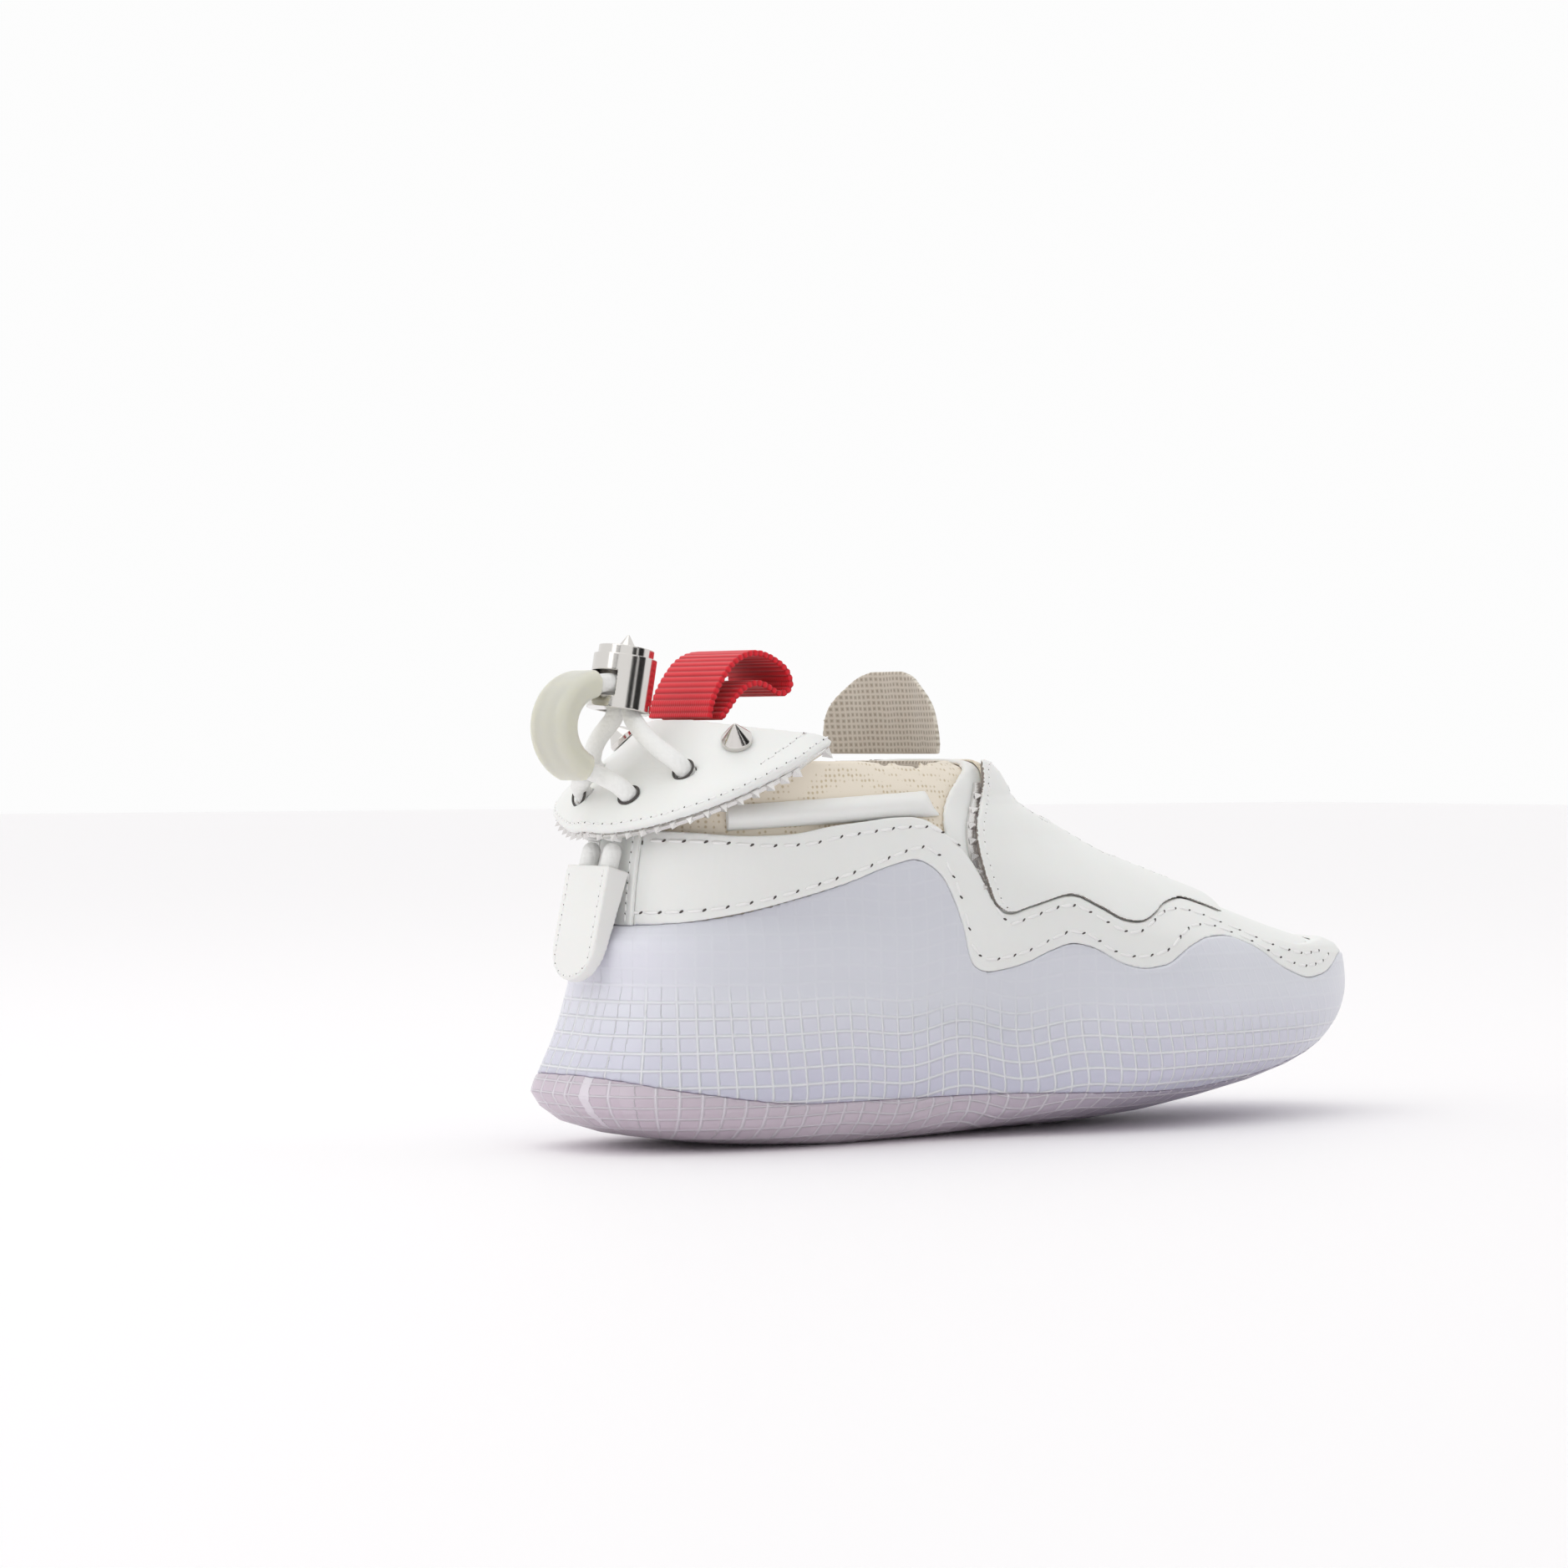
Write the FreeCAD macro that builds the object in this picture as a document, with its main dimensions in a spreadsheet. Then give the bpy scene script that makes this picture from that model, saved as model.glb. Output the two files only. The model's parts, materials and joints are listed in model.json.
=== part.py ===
"""Right-foot sneaker: moulded translucent sole, knitted bootie, wavy leather bands, a flared
collar flap with a cord lock, grip and hanging tab, a net tongue and a ribbon pull loop.

Frame: +X towards the toe, -Y on the outer (lateral) side of the foot, +Z up. The origin is on
the floor under the middle of the pattern's length. Millimetres.
"""
import FreeCAD, Part
import math
import os
from FreeCAD import Placement, Rotation, Vector

doc = FreeCAD.newDocument("sneaker")

# ---------------------------------------------------------------- driving sizes
SIZES = {
    "pattern_length": 285, "ball_width": 103, "collar_height": 112,
    "outsole_floor": 5, "wall_thickness": 5.2, "board_thickness": 1.5, "footbed_thickness": 4,
    "shank_length": 95, "shank_width": 16, "shank_thickness": 1.2,
    "vamp_thickness": 1.5, "sock_thickness": 2.4, "counter_thickness": 1.3, "layer_gap": 0.1,
    "band_thickness": 1.7, "strip_width": 20, "strip_thickness": 1.2,
    "panel_thickness": 1.3, "underlay_thickness": 0.8,
    "flap_thickness": 1.8, "flap_lining_thickness": 0.9, "casing_width": 7, "casing_thickness": 3.2,
    "tooth_pitch": 4.5, "tooth_height": 2.6, "tooth_depth": 2.2,
    "stud_radius": 4.2, "stud_rim": 1.4, "stud_height": 6.5, "stud_post_radius": 1.2,
    "stud_washer_radius": 3.4, "stud_washer_thickness": 0.8,
    "ribbon_width": 27, "ribbon_thickness": 1.5,
    "tongue_thickness": 1.4, "tongue_half_width": 25,
    "cord_radius": 2.5, "cord_gap": 0.4, "cord_spacing": 5.9,
    "drum_radius": 8.5, "drum_height": 14.6, "drum_wall": 1.0, "drum_floor": 1.0,
    "plunger_gap": 0.05, "plunger_proud": 2.4, "plunger_travel": 1.8, "spike_radius": 2.6,
    "spike_height": 3.6,
    "grip_radius": 11.5, "grip_bar": 7.4, "grip_width": 15.5,
    "tab_width": 19, "tab_length": 31, "tab_top": 7.4, "tab_tip": 3.2, "tab_lean": 16,
    "tab_cord_spacing": 9.4,
}

sheet = doc.addObject("Spreadsheet::Sheet", "sizes")
for row, (alias, value) in enumerate(SIZES.items(), start=1):
    sheet.set("A%d" % row, alias)
    sheet.set("B%d" % row, str(value))
    sheet.setAlias("B%d" % row, alias)
doc.recompute()


def size(alias):
    """A driving size as it stands in the sheet."""
    return float(sheet.get(alias))


# ---------------------------------------------------------------- grading of the pattern
# The outlines below are drawn for the base size; along, across and up grade them to the sheet.
BASE_LENGTH, BASE_BALL, BASE_COLLAR = 285.0, 103.0, 112.0


def along(x):
    """Length station, counted from the heel end of the pattern, as X."""
    return (x - 0.5 * BASE_LENGTH) * size("pattern_length") / BASE_LENGTH


def across(y):
    return y * size("ball_width") / BASE_BALL


def up(z):
    return z * size("collar_height") / BASE_COLLAR


def place(x, y, z):
    return Vector(along(x), across(y), up(z))


def smooth(points):
    """Monotone cubic through (position, value) pairs, flat beyond both ends."""
    xs, ys = [p[0] for p in points], [p[1] for p in points]
    steps = [(ys[i + 1] - ys[i]) / (xs[i + 1] - xs[i]) for i in range(len(xs) - 1)]
    slopes = [steps[0]] + [0.0] * (len(xs) - 2) + [steps[-1]]
    for i in range(1, len(xs) - 1):
        if steps[i - 1] * steps[i] > 0:
            slopes[i] = 2 * steps[i - 1] * steps[i] / (steps[i - 1] + steps[i])

    def value(x):
        x = min(max(x, xs[0]), xs[-1])
        i = max(k for k in range(len(xs) - 1) if xs[k] <= x)
        h = xs[i + 1] - xs[i]
        s = (x - xs[i]) / h
        return (ys[i] * (1 + 2 * s) * (1 - s) ** 2 + slopes[i] * h * s * (1 - s) ** 2
                + ys[i + 1] * s * s * (3 - 2 * s) + slopes[i + 1] * h * s * s * (s - 1))
    return value


def graded_curve(points):
    """A height along the shoe, from (station, height) pairs of the base size."""
    return smooth([(along(x), up(z)) for x, z in points])


# ---------------------------------------------------------------- plan outlines, level by level
# height, rear, front, half widths at heel, waist and ball: outer side, then inner side, toe bluntness
LAST_LEVELS = [
    (16, 23.2, 268, 33.0, 33.0, 43.0, 32.0, 31.0, 41.0, 2.3),
    (30, 22.8, 278.5, 35.5, 35.0, 47.5, 34.5, 32.5, 45.5, 2.3),
    (40, 22.8, 279.5, 36.0, 36.0, 48.0, 35.0, 33.5, 46.0, 2.3),
    (47, 23.0, 277.5, 36.0, 36.5, 46.5, 35.0, 34.5, 44.5, 2.3),
    (49.2, 23.1, 272.5, 36.0, 36.5, 45.9, 35.0, 34.5, 43.9, 2.3),
    (51.5, 23.2, 263, 35.8, 36.5, 45.2, 34.8, 34.5, 43.2, 2.3),
    (55, 23.4, 250, 35.5, 36.5, 44.0, 34.6, 34.5, 42.0, 2.3),
    (60, 23.7, 234, 35.0, 36.0, 42.0, 34.2, 34.2, 40.0, 2.3),
    (68, 24.3, 208.5, 34.2, 35.4, 38.8, 33.5, 33.7, 37.2, 2.3),
    (74, 25.0, 189.5, 33.5, 34.7, 36.6, 32.9, 33.2, 35.3, 2.3),
    (80, 25.9, 174, 32.9, 34.1, 34.8, 32.3, 32.8, 33.6, 2.3),
    (85, 26.8, 163, 32.4, 33.6, 33.5, 31.8, 32.4, 32.4, 2.4),
    (91, 28.4, 149.5, 31.7, 32.7, 31.8, 31.1, 31.6, 31.0, 2.6),
    (96, 30.3, 145.5, 31.0, 32.0, 30.4, 30.6, 31.1, 29.8, 2.9),
    (100, 32.2, 140, 30.5, 31.4, 29.0, 30.2, 30.7, 28.4, 3.3),
    (102.5, 33.6, 134, 30.2, 31.1, 28.0, 29.9, 30.4, 27.4, 3.7),
    (104.5, 34.8, 125, 29.9, 30.8, 27.2, 29.6, 30.1, 26.8, 4.0),
]
SOLE_LEVELS = [
    (0.0, 60.0, 172, 26.0, 20.0, 10.0, 25.0, 24.0, 33.0, 2.3),
    (1.2, 42.0, 191, 30.0, 26.0, 19.0, 29.0, 27.0, 38.0, 2.3),
    (3.5, 25.0, 208, 34.5, 31.5, 30.0, 33.5, 30.0, 42.0, 2.3),
    (7, 13.0, 225, 38.5, 35.5, 40.0, 37.0, 33.0, 45.5, 2.3),
    (11, 7.0, 243, 41.0, 37.7, 47.0, 39.5, 34.7, 48.0, 2.3),
    (15, 4.2, 257, 42.3, 38.5, 50.5, 41.0, 35.6, 49.3, 2.3),
    (21, 7.0, 270, 42.0, 38.4, 52.0, 40.8, 35.6, 50.0, 2.3),
    (30, 11.2, 278.5, 40.8, 37.6, 52.0, 39.8, 35.2, 50.0, 2.3),
    (38, 13.8, 281, 39.8, 37.6, 51.0, 38.8, 35.3, 49.0, 2.3),
    (46, 15.6, 280.5, 39.0, 38.2, 49.2, 38.0, 36.3, 47.2, 2.3),
    (51, 14.6, 276, 38.8, 38.4, 47.5, 37.8, 36.4, 45.5, 2.3),
    (55.5, 15.2, 266.5, 38.4, 38.4, 46.0, 37.4, 36.4, 44.0, 2.3),
    (58.5, 17.8, 255, 37.7, 38.2, 44.8, 36.8, 36.2, 42.8, 2.3),
    (62, 20.9, 240, 36.9, 37.7, 43.0, 36.0, 35.8, 41.0, 2.3),
    (70, 22.4, 213, 35.9, 36.9, 40.1, 35.1, 35.2, 38.4, 2.3),
    (80, 24.0, 186, 34.6, 35.8, 36.7, 34.0, 34.4, 35.4, 2.3),
]
HEEL_SHARE, WAIST_SHARE, BALL_SHARE = 0.16, 0.42, 0.70
RING_STEPS = 18
LEVEL_STEP = 3.0


class Form:
    """A foot-shaped body given by plan outlines at a set of levels."""

    def __init__(self, heights, columns, rear_bluntness):
        self.heights, self.columns, self.rear_bluntness = heights, columns, rear_bluntness

    @classmethod
    def drawn(cls, levels, rear_bluntness):
        """A form from its table of levels, graded to the sheet's sizes."""
        grades = [along, along] + [across] * 6 + [float]
        columns = [smooth([(up(row[0]), grade(row[k + 1])) for row in levels])
                   for k, grade in enumerate(grades)]
        return cls([up(row[0]) for row in levels], columns, rear_bluntness)

    def grown(self, amount):
        """The same form with its surface moved out along its normals; a negative amount shrinks it."""
        columns, starts = [], []
        for k, column in enumerate(self.columns[:8]):
            outward_sign = -1 if k == 0 else 1
            moved = []
            for z in self.heights:
                low, high = max(z - 0.3, self.heights[0]), min(z + 0.3, self.heights[-1])
                slope = outward_sign * (column(high) - column(low)) / (high - low)
                length = math.hypot(1, slope)
                point = (z - amount * slope / length, column(z) + outward_sign * amount / length)
                if not moved or point[0] > moved[-1][0] + 0.05:
                    moved.append(point)
            columns.append(smooth(moved))
            starts.append(moved[0][0])
        bottom = max(max(starts), self.heights[0])
        heights = [bottom] + [z for z in self.heights if z > bottom + 0.8]
        return Form(heights, columns + [self.columns[8]], self.rear_bluntness)

    def ends(self, z):
        """Rear and front of the outline at a height."""
        return self.columns[0](z), self.columns[1](z)

    def share_width(self, share, z, side):
        """Half width at a share of the outline's own length; side is -1 outer, +1 inner."""
        first = 2 if side < 0 else 5
        heel, waist, ball = [self.columns[first + k](z) for k in range(3)]
        if share < WAIST_SHARE:
            body = blend(heel, waist, (share - HEEL_SHARE) / (WAIST_SHARE - HEEL_SHARE))
        else:
            body = blend(waist, ball, (share - WAIST_SHARE) / (BALL_SHARE - WAIST_SHARE))
        power = self.rear_bluntness if share < 0.5 else self.columns[8](z)
        return body * (1 - abs(2 * share - 1) ** power) ** (1 / power)

    def at(self, turn, z, side):
        """Point at a half-turn parameter: 0 at the heel's centre, pi at the toe's centre."""
        share = 0.5 * (1 - math.cos(turn))
        rear, front = self.ends(z)
        return Vector(rear + share * (front - rear), side * self.share_width(share, z, side), z)

    def half_width(self, x, z, side):
        """Half width at a station, 0 outside the outline."""
        rear, front = self.ends(z)
        share = (x - rear) / (front - rear)
        return self.share_width(share, z, side) if 0 < share < 1 else 0.0

    def roof(self, x, y):
        """Height of the upper surface over a point in plan."""
        low, high = self.heights[2], self.heights[-1]
        for _ in range(40):
            middle = 0.5 * (low + high)
            inside = self.half_width(x, middle, -1 if y < 0 else 1) > abs(y)
            low, high = (middle, high) if inside else (low, middle)
        return low

    def ring(self, z):
        outer = [self.at(math.pi * k / RING_STEPS, z, -1) for k in range(RING_STEPS + 1)]
        inner = [self.at(math.pi * k / RING_STEPS, z, 1) for k in range(RING_STEPS - 1, 0, -1)]
        curve = Part.BSplineCurve()
        curve.interpolate(Points=outer + inner, PeriodicFlag=True)
        return Part.Wire([curve.toShape()])

    def solid(self):
        """The closed body, in straight facets from level to level."""
        levels = []
        for low, high in zip(self.heights, self.heights[1:]):
            count = max(1, int(round((high - low) / LEVEL_STEP)))
            levels += [low + (high - low) * k / count for k in range(count)]
        rings = [self.ring(z) for z in levels + [self.heights[-1]]]
        return Part.makeLoft(rings, True, True)


def blend(first, second, share):
    share = min(max(share, 0.0), 1.0)
    return first + (second - first) * share * share * (3 - 2 * share)


last = Form.drawn(LAST_LEVELS, 3.4)
sole = Form.drawn(SOLE_LEVELS, 3.0)

# ---------------------------------------------------------------- edge curves in side view
wave = graded_curve([(20, 59.4), (29, 60.6), (45, 63.5), (56, 66), (73, 70.3), (89, 75.2), (96.5, 76.5),
                     (103, 74), (108, 68), (112.2, 56.8), (116, 47.1), (121, 45.6), (132.7, 47.3),
                     (142.7, 51), (149, 52.7), (155.6, 51.4), (166, 46.5), (172, 45.2),
                     (180, 46.2), (188, 50.6), (198, 53.3), (204, 53.5), (216, 50.3),
                     (228, 43.9), (241.5, 40.5), (251, 41.5), (258, 43.8), (266, 46.2), (280, 46.5)])
topline = graded_curve([(22, 85), (30, 84.4), (45, 83.3), (56, 83.6), (71, 85.9), (81, 86.9),
                        (90, 87.8), (97, 87.9), (102.4, 86.7), (108, 83.2), (113.5, 78.5),
                        (118, 72.5), (123, 64), (127, 61), (135.5, 63), (149, 65.8), (159, 62),
                        (167.4, 58.3), (172.5, 58), (178, 59.6), (187, 63), (196, 64),
                        (205, 62), (216, 57.8), (228, 52.5), (241.5, 50), (252, 50.5), (266, 51),
                        (280, 51)])
tread_line = graded_curve([(2, 21.5), (25, 16.5), (60, 12.5), (120, 12.3), (190, 10.8), (220, 13),
                           (250, 19), (275, 28), (287, 36)])
underside = graded_curve([(4, 15), (13, 7), (25, 3.5), (42, 1.2), (60, 0), (172, 0), (191, 1.2),
                          (208, 3.5), (225, 7), (243, 11), (257, 15), (270, 21), (280, 30)])
board_top = graded_curve([(20, 41), (60, 39), (110, 31), (150, 26), (200, 24), (250, 27), (284, 33)])
collar_line = graded_curve([(20, 102.5), (36, 102.5), (60, 103.3), (150, 103.3)])
vamp_edge = [(110, 20), (110, 62), (109, 78), (110, 88), (117, 97), (128, 104), (135, 110)]
SIDE = across(90)


def raised(curve, amount):
    return lambda x: curve(x) + amount


def side_curve(curve, start, finish, step=4.0):
    count = max(2, int(round((finish - start) / step)))
    points = [Vector(start + (finish - start) * k / count, -SIDE, 0) for k in range(count + 1)]
    for point in points:
        point.z = curve(point.x)
    line = Part.BSplineCurve()
    line.interpolate(points)
    return line.toShape()


def between(low, high):
    """Everything between two side-view curves, right across the shoe."""
    start, finish = along(-15), along(300)
    bottom, top = side_curve(low, start, finish), side_curve(high, start, finish)
    rear = Part.makeLine(bottom.Vertexes[0].Point, top.Vertexes[0].Point)
    front = Part.makeLine(bottom.Vertexes[-1].Point, top.Vertexes[-1].Point)
    face = Part.Face(Part.Wire([bottom, front, top, rear]))
    return face.extrude(Vector(0, 2 * SIDE, 0))


def level(z):
    return lambda x: z


# ---------------------------------------------------------------- sub-parts made as shapes
made = []


def keep(name, shape):
    piece = doc.addObject("Part::Feature", name)
    piece.Shape = shape
    piece.Label = name
    piece.Placement = Placement()
    made.append(piece)
    return piece


def offset(grid, amount):
    """A grid of points moved along its own normals; amount may vary over rows and columns."""
    moved = []
    for i, column in enumerate(grid):
        moved.append([])
        for j, point in enumerate(column):
            ahead, behind = grid[min(i + 1, len(grid) - 1)][j], grid[max(i - 1, 0)][j]
            over, under = column[min(j + 1, len(column) - 1)], column[max(j - 1, 0)]
            normal = (ahead - behind).cross(over - under).normalize()
            step = amount(i, j) if callable(amount) else amount
            moved[i].append(point + normal * step)
    return moved


def slab(inner, outer):
    """A closed solid between two grids of points."""
    skins = []
    for grid in (inner, outer):
        surface = Part.BSplineSurface()
        surface.interpolate(grid)
        skins.append(surface)
    faces = [surface.toShape() for surface in skins]
    for pick in (lambda s: s.uIso(s.bounds()[0]), lambda s: s.uIso(s.bounds()[1]),
                 lambda s: s.vIso(s.bounds()[2]), lambda s: s.vIso(s.bounds()[3])):
        faces.append(Part.makeRuledSurface(pick(skins[0]).toShape(), pick(skins[1]).toShape()))
    skin = Part.makeCompound(faces)
    skin.sewShape(0.002)
    solid = Part.Solid(Part.Shell(skin.Faces))
    if solid.Volume < 0:
        solid.reverse()
    return solid



def outward(grid):
    """The same grid with its normals pointing away from the inside of the shoe."""
    i, j = len(grid) // 2, len(grid[0]) // 2
    normal = (grid[i + 1][j] - grid[i - 1][j]).cross(grid[i][j + 1] - grid[i][j - 1])
    centre = Vector(grid[i][j].x, 0, up(45))
    if normal.dot(grid[i][j] - centre + Vector(grid[i][j].x - along(120), 0, 0) * 0.2) < 0:
        return [list(reversed(column)) for column in grid]
    return grid


def largest(shape):
    """The main solid of a cut shape, without its slivers."""
    return max(shape.Solids, key=lambda solid: solid.Volume)


gap = size("layer_gap")
vamp = size("vamp_thickness")
sock_out = vamp + gap
sock_in = sock_out + size("sock_thickness")


def skin(low, high):
    """The space around the last from one distance outside it to another."""
    return last.grown(high).solid().cut(last.grown(low).solid())


def half(side, seam=0.05):
    """One side of the shoe as a block, just short of the middle plane."""
    block = Part.makeBox(along(320) - along(-20), SIDE, up(200), Vector(along(-20), seam, up(-20)))
    return block if side > 0 else block.mirror(Vector(), Vector(0, 1, 0))


# ---- sole: tread, translucent wall, foam core, shank, board, footbed
sole_body = sole.solid()
foam_room = sole.grown(-size("wall_thickness")).solid()
board_under = raised(board_top, -size("board_thickness"))
floor_line = raised(underside, size("outsole_floor"))
foam_shape = foam_room.common(between(lambda x: min(floor_line(x), board_under(x) - 2), board_under))
tread = sole_body.common(between(level(-1), tread_line)).cut(foam_shape)
keep("outsole_tread", tread)
last_body = last.solid()
foot_room = last_body.common(between(board_under, level(up(110))))
wall = sole_body.common(between(tread_line, wave)).cut(foam_shape).cut(foot_room)
keep("translucent_wall", wall)

shank = doc.addObject("Part::Box", "shank")
for name, formula in (("Length", "sizes.shank_length"), ("Width", "sizes.shank_width"),
                      ("Height", "sizes.shank_thickness")):
    shank.setExpression(name, formula)
shank_start, shank_end = along(55), along(55) + size("shank_length")
shank_tilt = math.atan2(board_under(shank_start) - board_under(shank_end), size("shank_length"))
shank_drop = size("shank_thickness") + 2.6
shank.Placement = Placement(Vector(shank_start, -0.5 * size("shank_width"),
                                   board_under(shank_start) - shank_drop),
                            Rotation(Vector(0, 1, 0), math.degrees(shank_tilt)))
doc.recompute()
made.append(shank)
keep("foam_core", foam_shape.cut(shank.Shape))
keep("insole_board", last_body.common(between(board_under, board_top)))

last_hollow = last.grown(-sock_in).solid()
cavity = last_hollow.common(between(board_top, level(up(110))))
footbed_top = raised(board_top, size("footbed_thickness"))
keep("footbed", last.grown(-sock_in - 0.3).solid().common(between(raised(board_top, 0.02), footbed_top)))

# ---- bootie, heel counter and vamp
ankle = Form.drawn([(z, 38.5, 122, 26.2, 26.2, 26.2, 26.0, 26.0, 26.0, 4.0) for z in (86, 95, 110)], 2.6)
bootie = last.grown(-sock_out).solid().common(between(raised(board_top, 0.02), collar_line))
keep("knit_bootie", bootie.cut(cavity).cut(ankle.solid()))

vamp_shape = last_body.common(between(raised(board_top, 0.02), level(up(104.2))))
edge_points = [Vector(along(x), -SIDE, up(z)) for x, z in vamp_edge]
edge_curve = Part.BSplineCurve()
edge_curve.interpolate(edge_points)
corners = [Vector(along(300), -SIDE, edge_points[-1].z), Vector(along(300), -SIDE, edge_points[0].z)]
vamp_frame = Part.Face(Part.Wire([edge_curve.toShape(), Part.makeLine(edge_points[-1], corners[0]),
                                  Part.makeLine(corners[0], corners[1]),
                                  Part.makeLine(corners[1], edge_points[0])]))
vamp_frame = vamp_frame.extrude(Vector(0, 2 * SIDE, 0))
vamp_core = last.grown(-vamp).solid().common(between(board_under, level(up(103.2))))
keep("vamp_leather", vamp_shape.common(vamp_frame).cut(vamp_core))


def side_grid(side, low, high, first, final, columns, rows):
    """Points on the last between two side-view curves, from one half turn to another."""
    grid = []
    for i in range(columns + 1):
        turn = first + (final - first) * i / columns
        column = []
        for j in range(rows + 1):
            z = up(60)
            for _ in range(8):
                x = last.at(turn, z, side).x
                z = low(x) + (high(x) - low(x)) * j / rows
            column.append(last.at(turn, z, side))
        grid.append(column)
    return outward(grid)


def turn_at(x, z):
    """The half-turn parameter of a station at a height."""
    rear, front = last.ends(z)
    return math.acos(1 - 2 * min(max((x - rear) / (front - rear), 0.0), 1.0))


SIDES = (("lateral", -1), ("medial", 1))
band_ring = skin(gap, gap + size("band_thickness")).common(between(wave, topline))
counter_ring = skin(0.05 - sock_out, 0.05 - sock_out + size("counter_thickness"))
counter_ring = counter_ring.common(between(raised(wave, -14), raised(topline, -6)))
counter_ring = counter_ring.common(
    Part.makeBox(along(88) - along(-20), 2 * SIDE, up(200), Vector(along(-20), -SIDE, up(-20))))
for label, side in SIDES:
    keep("heel_counter_" + label, counter_ring.common(half(side, 0.6)))
    keep("leather_band_" + label, band_ring.common(half(side)))


# ---- heel strip: over the butted ends of the two bands
strip_inside = size("band_thickness") + 2 * gap
strip_low, strip_high = wave(along(24)) - 0.3, topline(along(26)) + 1.5
strip_block = Part.makeBox(along(45) - along(-20), size("strip_width"), strip_high - strip_low,
                           Vector(along(-20), -0.5 * size("strip_width"), strip_low))
keep("heel_strip", skin(strip_inside, strip_inside + size("strip_thickness")).common(strip_block))


# ---- forefoot: cream underlay over the ridge, two scalloped panels, a toothed tape at each rear edge
rear_edge = [(124.1, 55), (124.1, 61), (122, 66), (119.8, 72), (118.6, 78.5), (119.7, 85),
             (122.6, 89.5), (125.5, 94), (128, 101), (129, 108)]
front_edge = [(204, 50), (214, 62), (231, 112)]
# the scallops' valleys and finger tips: station and distance from the middle plane
scallop = smooth([(along(x), across(y)) for x, y in (
    (110, 27), (126, 27), (130, 24), (136, 18), (141, 13.5), (146, 18), (151, 22), (156, 20),
    (161, 12), (166, 11.5), (171, 17), (177, 20), (183, 17), (188, 11), (193, 12), (199, 17.5),
    (204, 16), (208, 10), (213, 11), (219, 15), (224, 13), (240, 8))])


def spline(points):
    curve = Part.BSplineCurve()
    curve.interpolate(points)
    return curve.toShape()


def closed_face(first, second, way):
    """The face between two edges that run the same way, pushed through the shoe."""
    ends = [edge.Vertexes for edge in (first, second)]
    joins = [Part.makeLine(ends[0][k].Point, ends[1][k].Point) for k in (0, -1)]
    return Part.Face(Part.Wire([first, joins[1], second, joins[0]])).extrude(way)


def side_region(setback):
    """Side view of the panels, with the rear and lower edges set back."""
    rear = spline([Vector(along(x + setback), -SIDE, up(z)) for x, z in rear_edge])
    front = spline([Vector(along(x - setback), -SIDE, up(z)) for x, z in front_edge])
    block = closed_face(rear, front, Vector(0, 2 * SIDE, 0))
    return block.common(between(raised(topline, 0.5 + setback), level(up(103.5))))


def plan_region(side):
    """Plan view of one panel: outside its scalloped upper edge."""
    start, finish, count = along(112), along(238), 60
    points = [Vector(start + (finish - start) * k / count, 0, 0) for k in range(count + 1)]
    for point in points:
        point.y = side * scallop(point.x)
    outer = Part.makeLine(Vector(start, side * SIDE, 0), Vector(finish, side * SIDE, 0))
    return closed_face(spline(points), outer, Vector(0, 0, up(130)))


lift = gap + size("underlay_thickness")
underlay = skin(gap, lift).common(side_region(1.4))
keep("ridge_underlay", underlay)
panel_ring = skin(lift + gap, lift + gap + size("panel_thickness")).common(side_region(0))
for label, side in SIDES:
    keep("vamp_panel_" + label, panel_ring.common(plan_region(side)))


def spike(foot, ahead, out, width, height):
    """A four-sided pyramid standing on foot, its base sides along ahead and across it."""
    over = out.cross(ahead).normalize()
    ring = [foot + ahead * (a * 0.5 * width) + over * (b * 0.5 * width)
            for a, b in ((1, 1), (1, -1), (-1, -1), (-1, 1))]
    tip = foot + out * height
    faces = [Part.Face(Part.makePolygon(ring + ring[:1]))]
    for first, second in zip(ring, ring[1:] + ring[:1]):
        faces.append(Part.Face(Part.makePolygon([first, second, tip, first])))
    solid = Part.Solid(Part.Shell(faces))
    if solid.Volume < 0:
        solid.reverse()
    return solid


def last_normal(x, z, side):
    """Outward normal of the last at a station and height."""
    here = Vector(x, side * last.half_width(x, z, side), z)
    ahead = Vector(x + 1, side * last.half_width(x + 1, z, side), z) - here
    above = Vector(x, side * last.half_width(x, z - 1, side), z - 1) - here
    normal = ahead.cross(above).normalize()
    return here, normal if normal.y * side > 0 else normal * -1


edge_height = smooth([(up(z), along(x)) for x, z in rear_edge])
tape_front = spline([Vector(along(x + 1.2), -SIDE, up(z)) for x, z in rear_edge])
tape_rear = spline([Vector(along(x - 2.6), -SIDE, up(z)) for x, z in rear_edge])
tape_block = closed_face(tape_rear, tape_front, Vector(0, 2 * SIDE, 0))
tape_block = tape_block.common(between(raised(topline, 0.5), level(up(97))))
tape_ring = skin(gap, lift).common(tape_block)
for label, side in SIDES:
    teeth = []
    for k in range(8):
        z = up(64.5 + 4.1 * k)
        foot, out = last_normal(edge_height(z) - 1.2, z, side)
        upward = Vector(0, 0, 1)
        ahead = (upward - out * upward.dot(out)).normalize()
        teeth.append(spike(foot + out * (lift - 0.2), ahead, out, 2.5, 1.9))
    tape = tape_ring.common(half(side))
    keep("tooth_trim_" + label, largest(tape.fuse(teeth).cut(panel_ring).cut(band_ring)))


# ---- collar flap: a flared wing round the back of the collar, from tip to tip
flap_upper = [(43, 0, 113), (43.3, 7, 113), (44.5, 13, 112.5), (48, 20, 111.5), (54, 26, 110.5),
              (61, 31, 109.5), (66, 34, 109)]
flap_rim = [(13, 0, 84), (14.6, 7, 83.6), (18, 16, 84.7), (24, 28.5, 88), (34.5, 36.2, 92.8),
            (50, 39.4, 99.8), (67.5, 36, 107.2)]
FLAP_BULGE = 27.0


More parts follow.
